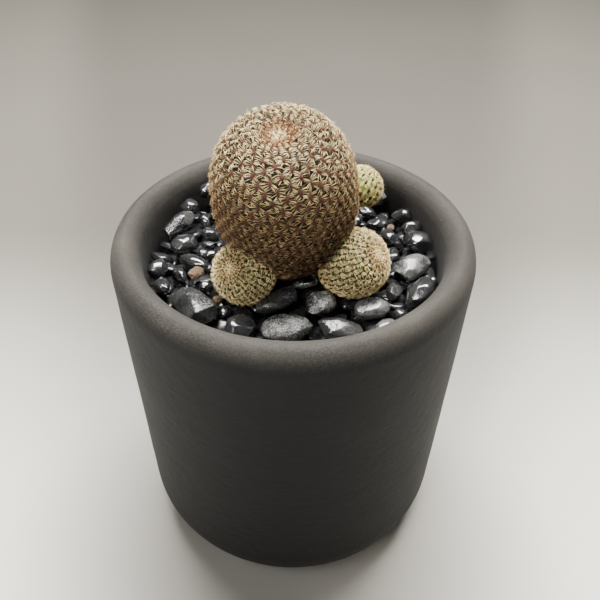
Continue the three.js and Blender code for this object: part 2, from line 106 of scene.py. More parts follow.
# The top pebbles that aren't glossy
PEBBLE_POLISHES = {
    "frosted_stone": ("pebble_01", "pebble_08"),
    "satin_stone": ("pebble_06", "pebble_12", "pebble_21", "pebble_04", "pebble_09"),
    "grained_stone": ("pebble_07", "pebble_25", "pebble_03", "pebble_10", "pebble_31"),
}


# ---------------------------------------------------------------- settings


def length(name, description, millimetres):
    """A property that holds a length."""
    default = millimetres * MM
    return FloatProperty(name=name, description=description, default=default, unit="LENGTH", precision=5)


def angular(name, description, radians):
    """A property that holds an angle."""
    return FloatProperty(name=name, description=description, default=radians, subtype="ANGLE")


def share(name, description, value):
    """A property that holds a plain number."""
    return FloatProperty(name=name, description=description, default=value)


def tint(name, description, red, green, blue):
    """A property that holds a colour."""
    default = (red, green, blue)
    return FloatVectorProperty(
        name=name, description=description, default=default, subtype="COLOR", size=3, min=0, max=1
    )


def stem_sizes(class_name, label, axis, numbers):
    """A property group with one stem's sizes. The numbers are its radius, the heights of its top and base
    above and below the widest ring, its dimple, how square its outline is and how much its base narrows."""
    radius, top, base, dimple, squareness, narrowing = numbers
    fields = {
        "axis": FloatVectorProperty(
            name="Axis", description=f"Way the {label} grows", default=axis, subtype="DIRECTION", size=3
        ),
        "radius": length("Radius", f"Radius of the {label} over its spines", radius),
        "top": length("Top", "Height of the tip above the widest ring", top),
        "base": length("Base", "Depth of the base below the widest ring", base),
        "dimple": length("Dimple", "Depth of the hollow at the growing tip", dimple),
        "squareness": share("Squareness", "Power of the outline, where 2 is an ellipse", squareness),
        "narrowing": share("Narrowing", "Share of the radius lost at the base", narrowing),
    }
    members = {"__doc__": f"Sizes of the {label}.", "__annotations__": fields}
    return type(class_name, (PropertyGroup,), members)


MainStemSizes = stem_sizes(
    "MainStemSizes", "main stem", (-0.06, -0.296, 0.953), (14.6, 19.2, 17.4, 1.0, 2.7, 0.26)
)
FrontLeftSizes = stem_sizes(
    "FrontLeftSizes", "front left offset", (-0.42, -0.62, 0.66), (6.0, 6.0, 6.0, 0.3, 2.2, 0.25)
)
FrontRightSizes = stem_sizes(
    "FrontRightSizes", "front right offset", (0.68, -0.36, 0.64), (6.7, 6.9, 7.6, 0.35, 2.2, 0.25)
)
BackRightSizes = stem_sizes(
    "BackRightSizes", "back right offset", (0.6, 0.42, 0.68), (4.1, 4.2, 4.4, 0.1, 2.1, 0.1)
)


class PotSettings(PropertyGroup):
    """Sizes and colours of the pot."""

    foot_radius: length("Foot radius", "Radius the wall would have at the floor", 39)
    wall: length("Wall", "Thickness of the wall", 6.4)
    rim_round: length("Rim round", "Height of the rounded rim", 5)
    heel_round: length("Heel round", "Radius of the round between wall and foot", 15)
    floor: length("Floor", "Thickness of the floor", 8)
    inner_round: length("Inner round", "Radius of the round inside, at the floor", 9)
    foot_ring: length("Foot ring", "Radius of the ring it stands on", 19)
    foot_recess: length("Foot recess", "Height of the hollow under the foot", 1.6)
    drain_hole: length("Drain hole", "Radius of the drain hole", 5)
    wobble: length("Wobble", "How far the hand-thrown wall strays from a true circle", 0.16)
    clay: tint("Clay", "Colour of the black clay", 0.0093, 0.0095, 0.0104)
    # This pale colour is real dust and wear, and is also painted as a sheen on the rim and as light bounced
    # from the floor onto the foot
    dust_and_painted_light: tint("Dusty clay", "Colour of the rubbed and dusty clay", 0.05, 0.0455, 0.039)
    speck: tint("Speck", "Colour of the pale specks", 0.34, 0.28, 0.21)


class BedSettings(PropertyGroup):
    """Sizes and colours of what fills the pot."""

    bed_floor: length("Bed floor", "Height of the packed grit under the loose stones", 73.2)
    bed_top: length("Bed top", "Height the loose stones reach", 78.6)
    stone_longest: length("Longest stone", "Half the length of the longest loose stone", 5.0)
    stone_shortest: length("Shortest stone", "Half the length of the shortest loose stone", 2.3)
    black: tint("Black stone", "Colour of the polished stones", 0.006, 0.0062, 0.007)
    grey: tint("Grey stone", "Colour of the stones' rubbed faces", 0.12, 0.118, 0.116)
    grain: tint("Tan grain", "Colour of the tan grains", 0.11, 0.068, 0.034)
    soil: tint("Soil", "Colour of the potting soil", 0.045, 0.028, 0.017)
    mesh: tint("Drain mesh", "Colour of the woven drain mesh", 0.045, 0.05, 0.048)


class PlantSettings(PropertyGroup):
    """Spines and colours of the plant."""

    inset: length("Spine cover", "Depth of the spines over the skin", 0.75)
    tubercle: length("Tubercle", "Height of the bump under each areole", 0.5)
    spine_length: length("Spine length", "Length of the main stem's comb spines", 1.6)
    spine_radius: length("Spine radius", "Radius of a spine at its foot", 0.052)
    felt_half: length("Felt length", "Half the length of an areole's felt", 0.8)
    spines_each_side: IntProperty(
        name="Spines each side", description="Comb spines on each side of an areole", default=10, min=3
    )
    # The old skin is painted near black as the shade in the gaps between the spines
    skin: tint("Skin", "Colour of the old skin", 0.008, 0.0066, 0.003)
    young_skin: tint("Young skin", "Colour of the young skin", 0.2, 0.28, 0.045)
    cream: tint("Cream spine", "Colour of the young spines", 1.0, 0.84, 0.42)
    tan: tint("Tan spine", "Colour of the grown spines", 0.59, 0.37, 0.135)
    brown: tint("Brown spine", "Colour of the oldest spines", 0.14, 0.065, 0.02)
    blush: tint("Blush", "Colour of the newest growth", 0.42, 0.13, 0.025)
    felt_red: tint("Red felt", "Colour of the young felt", 0.052, 0.0095, 0.002)
    felt_dark: tint("Dark felt", "Colour of the old felt", 0.022, 0.007, 0.004)
    wool: tint("Wool", "Colour of the wool at the tip", 0.95, 0.84, 0.52)


class StageSettings(PropertyGroup):
    """Camera, lights and floor."""

    distance: length("Distance", "From the middle of the rim to the camera", 140.7)
    elevation: angular("Elevation", "Height of the camera above the rim, as an angle", 0.5965)
    tip_down: angular("Tip down", "How far the camera looks below the rim", 0.1152)
    turn: angular("Turn", "How far the camera looks to the right", 0.01328)
    roll: angular("Roll", "Turn of the camera about its view", 0.0158)
    lens: share("Lens", "Focal length in millimetres", 38.4)
    floor: tint("Floor", "Colour of the floor", 0.52, 0.506, 0.458)
    # The near floor colour is painted shade round the pot, and the far floor colour is a painted falloff of
    # the light behind it
    painted_shade_floor: tint("Near floor", "Colour of the floor round the pot", 0.3, 0.288, 0.262)
    painted_falloff_floor: tint("Far floor", "Colour of the floor behind the pot", 0.072, 0.067, 0.057)


class CactusSettings(PropertyGroup):
    """All that can be changed about the potted cactus."""

    pot: PointerProperty(type=PotSettings)
    bed: PointerProperty(type=BedSettings)
    plant: PointerProperty(type=PlantSettings)
    stage: PointerProperty(type=StageSettings)
    main_stem: PointerProperty(type=MainStemSizes)
    offset_front_left: PointerProperty(type=FrontLeftSizes)
    offset_front_right: PointerProperty(type=FrontRightSizes)
    offset_back_right: PointerProperty(type=BackRightSizes)


# ---------------------------------------------------------------- finishes


class Value:
    """A shader socket that can stand in a sum: each operator adds the Math node that works it out."""

    def __init__(self, finish, socket):
        self.finish = finish
        self.socket = socket

    def worked(self, operation, first, second):
        """The result of a Math node on two values."""
        made = self.finish.node("ShaderNodeMath", {"operation": operation}, {0: first, 1: second})
        return Value(self.finish, made.outputs[0])

    def __add__(self, other):
        return self.worked("ADD", self, other)

    def __radd__(self, other):
        return self.worked("ADD", other, self)

    def __sub__(self, other):
        return self.worked("SUBTRACT", self, other)

    def __rsub__(self, other):
        return self.worked("SUBTRACT", other, self)

    def __mul__(self, other):
        return self.worked("MULTIPLY", self, other)

    def __rmul__(self, other):
        return self.worked("MULTIPLY", other, self)

    def __pow__(self, other):
        return self.worked("POWER", self, other)

    def step(self, low, high):
        """0 up to low and 1 from high, with a soft step between; low may be the greater."""
        made = self.finish.node(
            "ShaderNodeMapRange",
            {"interpolation_type": "SMOOTHSTEP"},
            {"Value": self, "From Min": low, "From Max": high},
        )
        return Value(self.finish, made.outputs["Result"])


class Finish:
    """A material that is put together from nodes round one Principled shader."""

    def __init__(self, name, **plain):
        self.material = bpy.data.materials.new(name)
        self.material.use_nodes = True
        self.tree = self.material.node_tree
        self.tree.nodes.clear()
        uniform = {key.replace("_", " "): value for key, value in plain.items()}
        self.shader = self.node("ShaderNodeBsdfPrincipled", {}, uniform)
        self.node("ShaderNodeOutputMaterial", {}, {"Surface": self.shader.outputs["BSDF"]})
        self.place = self.node("ShaderNodeTexCoord").outputs["Object"]

    def put(self, socket, value):
        """Links a socket or a Value into socket, or sets it to a number or colour."""
        if isinstance(value, Value):
            value = value.socket
        if isinstance(value, bpy.types.NodeSocket):
            self.tree.links.new(value, socket)
        elif socket.type == "RGBA":
            socket.default_value = (*value, 1)
        else:
            socket.default_value = value

    def node(self, kind, settings=None, inputs=None):
        """A node of a kind, with its settings and then the values or links of its sockets."""
        made = self.tree.nodes.new(kind)
        for name, value in (settings or {}).items():
            setattr(made, name, value)
        for name, value in (inputs or {}).items():
            self.put(made.inputs[name], value)
        return made

    def stretched(self, x, y, z):
        """The place on the surface, stretched along each axis."""
        made = self.node("ShaderNodeVectorMath", {"operation": "MULTIPLY"}, {0: self.place, 1: (x, y, z)})
        return made.outputs[0]

    def parts(self):
        """The place on the surface as three values, in metres."""
        outputs = self.node("ShaderNodeSeparateXYZ", {}, {0: self.place}).outputs
        return [Value(self, outputs[axis]) for axis in "XYZ"]

    def noise(self, size, detail=2.0, roughness=0.5, place=None):
        """Noise with features of about size."""
        inputs = {"Vector": place or self.place, "Scale": 1 / size}
        inputs.update({"Detail": detail, "Roughness": roughness})
        return Value(self, self.node("ShaderNodeTexNoise", {}, inputs).outputs["Fac"])

    def cells(self, size):
        """The distance to the middles of cells of about size."""
        made = self.node("ShaderNodeTexVoronoi", {}, {"Vector": self.place, "Scale": 1 / size})
        return Value(self, made.outputs["Distance"])

    def waves(self, size, axis):
        """Soft bands along an axis, with a pitch of about size."""
        inputs = {"Vector": self.place, "Scale": 1 / size}
        made = self.node("ShaderNodeTexWave", {"bands_direction": axis}, inputs)
        return Value(self, made.outputs["Fac"])

    def attribute(self, name):
        """A value kept on the mesh's points."""
        made = self.node("ShaderNodeAttribute", {"attribute_type": "GEOMETRY", "attribute_name": name})
        return Value(self, made.outputs["Fac"])

    def blend(self, amount, first, second):
        """A colour that goes from first to second as amount goes from 0 to 1."""
        made = self.node("ShaderNodeMix", {"data_type": "RGBA"}, {0: amount, 6: first, 7: second})
        return made.outputs[2]

    def bump(self, height, distance):
        """A normal roughened by height, whose full range stands for distance."""
        return self.node("ShaderNodeBump", {}, {"Height": height, "Distance": distance}).outputs["Normal"]

    def shade(self, **varying):
        """Sets what changes over the surface, and returns the material."""
        for name, value in varying.items():
            self.put(self.shader.inputs[name.replace("_", " ")], value)
        return self.material


# Where the clay's looks change, in heights above the floor and, for the inside, in radii
# The rim band is rubbed, dust-pale clay and also a painted sheen where the light falls on its top
RUBBED_RIM_AND_SHEEN = (82.2 * MM, 86 * MM)
SCUFFED_INSIDE = (73 * MM, 82 * MM)
INSIDE_RADII = (37.6 * MM, 36.8 * MM)
# Painted light bounced from the floor, lightening the wall towards the foot
PAINTED_BOUNCE_FOOT = (50 * MM, 8 * MM)


def clay_finish(pot):
    """Matt black clay with a fine tooth and pale specks, rubbed and dusty at the rim and inside."""
    finish = Finish("black_clay", Sheen_Weight=0.02, Sheen_Roughness=0.4, Specular_IOR_Level=0.08)
    cloud = finish.noise(18 * MM, 3)
    rings = finish.noise(1.1 * MM, 2, place=finish.stretched(0.04, 0.04, 1))
    tooth = finish.noise(0.35 * MM, 3, 0.6)
    across, ahead, height = finish.parts()
    # rim: the rubbed, dust-pale rim band, also a painted sheen of the light on its top
    rim = height.step(*RUBBED_RIM_AND_SHEEN)
    inside = ((across * across + ahead * ahead) ** 0.5).step(*INSIDE_RADII)
    scuffed = inside * height.step(*SCUFFED_INSIDE) * 0.4
    # low: painted light bounced from the floor, lighter towards the foot
    low = height.step(*PAINTED_BOUNCE_FOOT) * 0.07
    # rubbed mixes real dust and wear with the painted rim sheen and the painted light at the foot
    rubbed = rim * (0.05 + 0.85 * cloud) + cloud.step(0.5, 0.75) * 0.05 + scuffed * (1 - rim) + low
    specks = finish.cells(3.4 * MM).step(0.085, 0.05) * finish.noise(9 * MM).step(0.62, 0.66)
    pits = finish.cells(2.1 * MM).step(0.1, 0.04)
    colour = finish.blend(rubbed, pot.clay, pot.dust_and_painted_light)
    colour = finish.blend(tooth.step(0.45, 0.62) * (0.06 + 0.45 * rim), colour, pot.dust_and_painted_light)
    colour = finish.blend(specks, colour, pot.speck)
    relief = tooth * 0.5 + rings * 0.35 - pits * 0.7 + finish.noise(2.5 * MM, 2) * 0.9
    return finish.shade(
        Base_Color=colour,
        Roughness=0.52 + 0.14 * cloud + 0.1 * tooth,
        Normal=finish.bump(relief, 0.15 * MM),
    )


# A pale colour painted as the glints of sparkle on the stones
PAINTED_GLINT_COLOUR = (0.3, 0.29, 0.28)


def stone_finish(name, bed):
    """Black stone with one of the polishes."""
    dull, sparkle, rubbed, painted_glints, shine = POLISHES[name]
    finish = Finish(name, Specular_IOR_Level=shine, IOR=1.55)
    cloud = finish.noise(3.2 * MM, 3)
    fine = finish.noise(0.36 * MM, 2, 0.6)
    grit = finish.noise(0.5 * MM, 4, 0.7)
    worn = (cloud * 0.6 + grit * 0.4).step(0.36, 0.62) * rubbed
    colour = finish.blend(worn, bed.black, bed.grey)
    # Pale specks painted as glints of sparkle
    colour = finish.blend(fine.step(0.52, 0.62) * cloud.step(0.4, 0.6) * painted_glints, colour, PAINTED_GLINT_COLOUR)
    relief = fine * sparkle + grit * 0.2 + finish.noise(1.6 * MM, 2) * 0.7
    return finish.shade(
        Base_Color=colour,
        Roughness=dull + 0.1 * (grit - 0.5) + 0.1 * worn,
        Normal=finish.bump(relief, (0.06 + 0.03 * sparkle) * MM),
    )


def grain_finish(bed):
    """Porous tan mineral."""
    finish = Finish("tan_grain_finish", Roughness=0.9)
    grit = finish.noise(0.4 * MM, 4, 0.7)
    colour = finish.blend(grit.step(0.35, 0.65), [c * 0.45 for c in bed.grain], bed.grain)
    return finish.shade(Base_Color=colour, Normal=finish.bump(grit, 0.2 * MM))


SOIL_FIBRE = (0.2, 0.13, 0.07)


def soil_finish(bed):
    """Crumbly brown potting soil with lighter fibres."""
    finish = Finish("soil_finish")
    crumb = finish.noise(1.4 * MM, 5, 0.7)
    fibre = finish.noise(0.8 * MM, 2, place=finish.stretched(0.3, 1, 1)).step(0.62, 0.7)
    colour = finish.blend(crumb.step(0.3, 0.7), [c * 0.4 for c in bed.soil], bed.soil)
    colour = finish.blend(fibre * 0.5, colour, SOIL_FIBRE)
    relief = finish.bump(crumb, 0.6 * MM)
    return finish.shade(Base_Color=colour, Roughness=0.85 + 0.1 * crumb, Normal=relief)


WEAVE_PITCH = 2.2 * MM


def drain_mesh_finish(bed):
    """Moulded dark plastic with a woven ribbing."""
    finish = Finish("woven_mesh_finish")
    weave = finish.waves(WEAVE_PITCH, "X") * finish.waves(WEAVE_PITCH, "Y")
    colour = finish.blend(weave, [c * 0.5 for c in bed.mesh], bed.mesh)
    relief = finish.bump(weave, 0.15 * MM)
    return finish.shade(Base_Color=colour, Roughness=0.6 + 0.2 * weave, Normal=relief)


def skin_finish(name, plant, fresh):
    """Waxy cactus skin; fresh is how far its colour is towards the young green, not the blushing tip."""
    finish = Finish(name, Specular_IOR_Level=0.12)
    age = finish.attribute("age")
    near = finish.attribute("near")
    mottle = finish.noise(0.9 * MM, 3, 0.6)
    pores = finish.cells(0.28 * MM)
    # grown: the old skin colour, partly painted shade between the spines
    grown = [o * (1 - fresh) + y * fresh for o, y in zip(plant.skin, plant.young_skin)]
    tip = [b * (1 - fresh) * 0.35 + y * fresh for b, y in zip(plant.blush, plant.young_skin)]
    colour = finish.blend(age.step(0.0, 0.1), tip, grown)
    colour = finish.blend(mottle.step(0.4, 0.7) * 0.5, colour, [c * 0.45 for c in grown])
    colour = finish.blend(near.step(0.75, 1.0) * 0.7, colour, plant.felt_dark)
    relief = finish.bump(mottle * 0.6 + pores * 0.4, 0.06 * MM)
    return finish.shade(Base_Color=colour, Roughness=0.5 + 0.2 * mottle, Normal=relief)


def spine_finish(name, plant, paleness):
    """Chalky comb spines: pale and blushing at the growing tip, tan and then brown as they age, and the
    later the greater paleness is."""
    finish = Finish(name, Specular_IOR_Level=0.4)
    along = finish.attribute("along")
    age = finish.attribute("age")
    chance = finish.attribute("chance")
    grime = finish.noise(1.3 * MM, 3, 0.6)
    old = (age + 0.35 * (chance - 0.5) + 0.25 * (grime - 0.5)).step(paleness - 0.2, paleness + 0.3)
    colour = finish.blend(age.step(0.16, 0.42), plant.cream, plant.tan)
    colour = finish.blend(old, colour, plant.brown)
    colour = finish.blend(chance.step(0.7, 0.2) * (1.38 - paleness), colour, plant.brown)
    ring = age.step(0.085, 0.05) * age.step(0.022, 0.04)
    colour = finish.blend(ring * chance.step(0.25, 0.7), colour, plant.blush)
    colour = finish.blend(1 - along.step(0.0, 0.95 - 0.6 * paleness), colour, plant.felt_dark)
    colour = finish.blend(along.step(0.5, 1.0) * chance.step(0.2, 0.6) * 0.6, colour, plant.cream)
    return finish.shade(
        Base_Color=colour, Roughness=0.45 + 0.25 * chance, Normal=finish.bump(grime, 0.03 * MM)
    )


def felt_finish(name, plant):
    """Short dense felt of the areoles: red when young, nearly black when old."""
    finish = Finish(name, Roughness=0.9)
    age = finish.attribute("age")
    chance = finish.attribute("chance")
    fuzz = finish.noise(0.12 * MM, 2)
    colour = finish.blend((age + 0.3 * (chance - 0.5)).step(0.3, 0.85), plant.felt_red, plant.felt_dark)
    colour = finish.blend(fuzz.step(0.55, 0.8) * 0.05, colour, plant.tan)
    return finish.shade(Base_Color=colour, Normal=finish.bump(fuzz, 0.08 * MM))


def wool_finish(name, plant):
    """Cream wool."""
    finish = Finish(name, Roughness=0.85, Sheen_Weight=0.3)
    chance = finish.attribute("chance")
    tuft = finish.noise(0.5 * MM, 2)
    colour = finish.blend((chance * 0.6 + tuft * 0.5).step(0.3, 0.9), plant.tan, plant.wool)
    return finish.shade(Base_Color=colour, Normal=finish.bump(tuft, 0.05 * MM))


DARK_CORK = (0.1, 0.06, 0.035)


def root_finish(plant):
    """Corky brown root."""
    finish = Finish("root_finish", Roughness=0.85)
    cork = finish.noise(1.0 * MM, 4, 0.65, finish.stretched(1, 1, 0.3))
    colour = finish.blend(cork.step(0.3, 0.7), DARK_CORK, plant.tan)
    return finish.shade(Base_Color=colour, Normal=finish.bump(cork, 0.3 * MM))


# Where painted shade darkens the table round the sides of the pot, slanting outwards to the back, and where
# a painted falloff of the light darkens it from front to back
PAINTED_SHADE_ASIDE = (40 * MM, 98 * MM)
PAINTED_SHADE_SLANT = 0.25
PAINTED_FALLOFF_BEHIND = (-50 * MM, 130 * MM)
TABLE_DUST = (0.3, 0.28, 0.25)


def floor_finish(stage):
    """Plain table, pale to the front and sides and darker round and behind the pot, with a faint grain."""
    finish = Finish("pale_table", Roughness=0.75, Specular_IOR_Level=0.2)
    grain = finish.noise(0.6 * MM, 3)
    cloud = finish.noise(120 * MM, 2)
    across, behind, _ = finish.parts()
    # Painted shade round the pot, fading out to the sides and slanting outwards to the back
    clear_of_painted_shade = ((across * across) ** 0.5 - PAINTED_SHADE_SLANT * behind).step(*PAINTED_SHADE_ASIDE)
    colour = finish.blend(clear_of_painted_shade, stage.painted_shade_floor, stage.floor)
    # Painted falloff of the light: the table darker behind the pot
    painted_falloff_colour = finish.blend(clear_of_painted_shade, stage.painted_falloff_floor, [c * 1.5 for c in stage.painted_falloff_floor])
    colour = finish.blend(behind.step(*PAINTED_FALLOFF_BEHIND), colour, painted_falloff_colour)
    colour = finish.blend(cloud * 0.05 + grain * 0.04, colour, TABLE_DUST)
    return finish.shade(Base_Color=colour, Normal=finish.bump(grain, 0.01 * MM))


# ---------------------------------------------------------------- mesh tools


# Numbers that mix a cell's indices and a seed into a chance
CELL_KEYS = (127, 311, 743)
SEED_KEY = 1009
KEY_RANGE = 65521
KEY_TURN = 12.9898
KEY_SCALE = 43758.5453


def lumps(points, size, seed):
    """Smooth random heights from -1 to 1 that change over about size."""
    cell = points / size
    base = np.floor(cell).astype(np.int64)
    part = cell - base
    part = part * part * (3 - 2 * part)
    total = np.zeros(len(points))
    for corner in itertools.product((0, 1), repeat=3):
        key = (base + corner) @ np.array(CELL_KEYS) + SEED_KEY * seed
        chance = np.mod(np.abs(np.sin((key % KEY_RANGE) * KEY_TURN) * KEY_SCALE), 1)
        weight = np.prod(np.where(corner, part, 1 - part), axis=1)
        total += weight * (2 * chance - 1)
    return total


def soft_step(value, low, high):
    """0 up to low and 1 from high, with a soft step between."""
    part = np.clip((value - low) / (high - low), 0, 1)
    return part * part * (3 - 2 * part)


def unit(vectors):
    """Vectors scaled to a length of 1."""
    return vectors / np.linalg.norm(vectors, axis=-1, keepdims=True)


def new_piece(name, points, faces, material, slot, values=None):
    """A smooth-shaded mesh object on the root body, from points, arrays of faces and point values."""
    mesh = bpy.data.meshes.new(name)
    corners = np.concatenate([f.ravel() for f in faces]).astype(np.int32)
    sizes = np.concatenate([np.full(len(f), f.shape[1]) for f in faces]).astype(np.int32)
    mesh.vertices.add(len(points))
    mesh.vertices.foreach_set("co", np.asarray(points, np.float32).ravel())
    mesh.loops.add(len(corners))
    mesh.loops.foreach_set("vertex_index", corners)
    mesh.polygons.add(len(sizes))
    mesh.polygons.foreach_set("loop_start", (np.cumsum(sizes) - sizes).astype(np.int32))
    mesh.polygons.foreach_set("use_smooth", np.ones(len(sizes), bool))
    mesh.update(calc_edges=True)
    mesh.validate()
    for key, numbers in (values or {}).items():
        layer = mesh.attributes.new(key, "FLOAT", "POINT")
        layer.data.foreach_set("value", np.asarray(numbers, np.float32).ravel())
    mesh.materials.append(material)
    piece = bpy.data.objects.new(name, mesh)
    bpy.context.scene.collection.objects.link(piece)
    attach(piece, ROOT_BODY)
    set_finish(piece, slot)
    return piece


def turned_faces(rows, columns, closed=False):
    """Faces of a profile turned about an axis; its rows run from the bottom up the outside."""
    index = np.arange(rows * columns).reshape(rows, columns)
    if closed:
        index = np.concatenate([index, index[:1]])
    after = np.roll(index, -1, axis=1)
    return np.stack([index[:-1], after[:-1], after[1:], index[1:]], -1).reshape(-1, 4)


def turned(radius, height, columns):
    """Points of a profile turned about +Z, row by row."""
    angle = np.linspace(0, 2 * math.pi, columns, endpoint=False)
    x = np.outer(radius, np.cos(angle))
    y = np.outer(radius, np.sin(angle))
    z = np.repeat(np.asarray(height)[:, None], columns, axis=1)
    return np.stack([x, y, z], -1).reshape(-1, 3)


def cap(columns, first, upward):
    """One face that closes the end ring of turned points."""
    ring = np.arange(first, first + columns)
    return (ring if upward else ring[::-1])[None, :]


def capped_faces(rows, columns):
    """Faces of a turned profile, with its first and last rings closed."""
    return [
        turned_faces(rows, columns), cap(columns, 0, False), cap(columns, (rows - 1) * columns, True)
    ]


def arc(r, z, radius_r, radius_z, start, end, steps):
    """Points on an elliptical arc about (r, z), from one angle to another in degrees."""
    angle = np.radians(np.linspace(start, end, steps + 1))
    return np.stack([r + radius_r * np.cos(angle), z + radius_z * np.sin(angle)], -1)


def line(start, end, steps):
    """Points from start to end, leaving out both."""
    along = np.linspace(0, 1, steps + 2)[1:-1, None]
    return np.asarray(start) + along * (np.asarray(end) - np.asarray(start))


def ball(level):
    """Points and faces of a unit ball of triangles."""
    shape = bmesh.new()
    bmesh.ops.create_icosphere(shape, subdivisions=level, radius=1)
    points = np.array([v.co for v in shape.verts])
    faces = np.array([[v.index for v in f.verts] for f in shape.faces])
    shape.free()
    return points, faces


def repeated(faces, count, stride):
    """The faces of count copies of a shape with stride points each."""
    return (faces[None] + stride * np.arange(count)[:, None, None]).reshape(-1, faces.shape[1])


# ---------------------------------------------------------------- stems


NARROWING_POWER = 1.5
DIMPLE_TIGHTNESS = 4
OUTLINE_STEPS = 6000
PROFILE_STEPS = 1600
PROFILE_SMOOTHING = 41
# A coarser outline, every so many points, places the barrel in its solid's box
FITTING_STRIDE = 60
FITTING_COLUMNS = 180


class Stem:
    """A stem's skin: a barrel turned about its growing axis, kept inside its solid by the spines' depth."""

    def __init__(self, sizes, node, inset, sides):
        angle = np.linspace(math.pi / 2, -math.pi / 2, OUTLINE_STEPS + 1)
        power = 2 / sizes.squareness
        across = np.maximum(0, np.cos(angle)) ** power
        along = np.sign(np.sin(angle)) * np.abs(np.sin(angle)) ** power
        narrowing = 1 - sizes.narrowing * np.maximum(0, -along) ** NARROWING_POWER
        sink = np.where(along > 0, sizes.dimple * np.exp(-((DIMPLE_TIGHTNESS * across) ** 2)), 0)
        radius = sizes.radius * across * narrowing
        height = np.where(along > 0, sizes.top, sizes.base) * along - sink
        axis = Vector(sizes.axis).normalized()
        self.turn = np.array(Vector((0, 0, 1)).rotation_difference(axis).to_matrix())
        coarse = turned(radius[::FITTING_STRIDE], height[::FITTING_STRIDE], FITTING_COLUMNS)
        self.centre = self.middle(coarse @ self.turn.T, node, sides)
        self.grid(radius, height, inset)

    @staticmethod
    def middle(points, node, sides):
        """Where the barrel's middle goes, so that it meets the named sides of its solid's box."""
        low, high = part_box(node)
        place = []
        for i, side in enumerate(sides):
            at_low = low[i] - points[:, i].min()
            at_high = high[i] - points[:, i].max()
            place.append({"low": at_low, "high": at_high, "mid": (at_low + at_high) / 2}[side])
        return np.array(place)

    def grid(self, radius, height, inset):
        """Spaces the profile evenly from the tip down and moves it in by inset."""
        reach = np.concatenate([[0], np.cumsum(np.hypot(np.diff(radius), np.diff(height)))])
        self.down = np.linspace(0, reach[-1], PROFILE_STEPS + 1)
        radius = np.interp(self.down, reach, radius)
        height = np.interp(self.down, reach, height)
        smooth = np.hanning(PROFILE_SMOOTHING) / np.hanning(PROFILE_SMOOTHING).sum()
        margin = PROFILE_SMOOTHING // 2
        run = np.convolve(np.pad(np.gradient(radius), margin, "edge"), smooth, "valid")
        fall = np.convolve(np.pad(np.gradient(height), margin, "edge"), smooth, "valid")
        size = np.hypot(run, fall)
        self.run, self.fall = run / size, fall / size
        self.radius = np.maximum(radius + inset * self.fall, 0)
        self.height = height - inset * self.run

    def frames(self, down, azimuth):
        """Place, downward, sideways and outward directions on the skin, in the row frame."""
        radius, height, run, fall = (
            np.interp(down, self.down, row) for row in (self.radius, self.height, self.run, self.fall)
        )
        zero = np.zeros_like(azimuth)
        away = np.stack([np.cos(azimuth), np.sin(azimuth), zero], -1)
        side = np.stack([-np.sin(azimuth), np.cos(azimuth), zero], -1)
        up = np.array([0.0, 0.0, 1.0])
        place = radius[..., None] * away + height[..., None] * up
        downward = unit(run[..., None] * away + fall[..., None] * up)
        outward = unit(-fall[..., None] * away + run[..., None] * up)
        turned_to = [v @ self.turn.T for v in (place, downward, side, outward)]
        turned_to[0] = turned_to[0] + self.centre
        return turned_to

    def areoles(self, young, grown, ripe, lowest):
        """Distances down and azimuths of the areoles, wound on the golden angle; young and grown are the
        skin areas round one at the tip and below ripe, and none is lower than lowest."""
        spacing = young + (grown - young) * soft_step(self.down, 0, ripe)
        step = self.down[1] - self.down[0]
        count = np.cumsum(2 * math.pi * self.radius * step / spacing)
        down = np.interp(np.arange(int(count[-1])) + 0.5, count, self.down)
        azimuth = GOLDEN_ANGLE * np.arange(len(down))
        place = self.frames(down, azimuth)[0]
        kept = place[:, 2] > lowest
        return down[kept], azimuth[kept]


SKIN_ROW = 0.27 * MM
SKIN_FEWEST_ROWS = 24
SKIN_ROUGHNESS = 0.06 * MM
SKIN_ROUGHNESS_SIZE = 0.7 * MM
SKIN_SEED = 5


def skin_piece(stem, name, node, areoles, tubercle, spread, columns, material, slot):
    """The skin with a low bump under each areole."""
    rows = max(SKIN_FEWEST_ROWS, int(stem.down[-1] / SKIN_ROW))
    down = np.linspace(stem.down[-1], 0, rows + 2)[1:-1]
    azimuth = np.linspace(0, 2 * math.pi, columns, endpoint=False)
    down, azimuth = (g.ravel() for g in np.meshgrid(down, azimuth, indexing="ij"))
    place, _, _, outward = stem.frames(down, azimuth)
    tree = KDTree(len(areoles[0]))
    for i, point in enumerate(stem.frames(*areoles)[0]):
        tree.insert(point, i)
    tree.balance()
    gap = np.array([tree.find(point)[2] for point in place])
    near = np.exp(-((gap / spread) ** 2))
    rough = SKIN_ROUGHNESS * lumps(place, SKIN_ROUGHNESS_SIZE, SKIN_SEED)
    place = place + outward * (tubercle * near + rough)[:, None]
    ends = stem.frames(np.array([stem.down[-1], 0.0]), np.zeros(2))[0]
    total = rows * columns
    first, last = np.arange(columns), np.arange(total - columns, total)
    faces = [
        turned_faces(rows, columns),
        np.stack([np.full(columns, total), np.roll(first, -1), first], -1),
        np.stack([last, np.roll(last, -1), np.full(columns, total + 1)], -1),
    ]
    age = np.append(down / stem.down[-1], [1, 0])
    values = {"age": age, "near": np.append(near, [0, 0])}
    piece = new_piece(name, np.concatenate([place, ends]), faces, material, slot, values)
    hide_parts(node)
    return piece


SPINE_RINGS = 4
SPINE_SIDES = 3
SPINE_TAPER = (1.0, 0.95, 0.7, 0.22)


def spine_faces():
    """Faces of one spine: three sides, a foot and a point."""
    sides = turned_faces(SPINE_RINGS, SPINE_SIDES)
    last = (SPINE_RINGS - 1) * SPINE_SIDES
    return sides, np.array([[0, 2, 1], [last, last + 1, last + 2]])


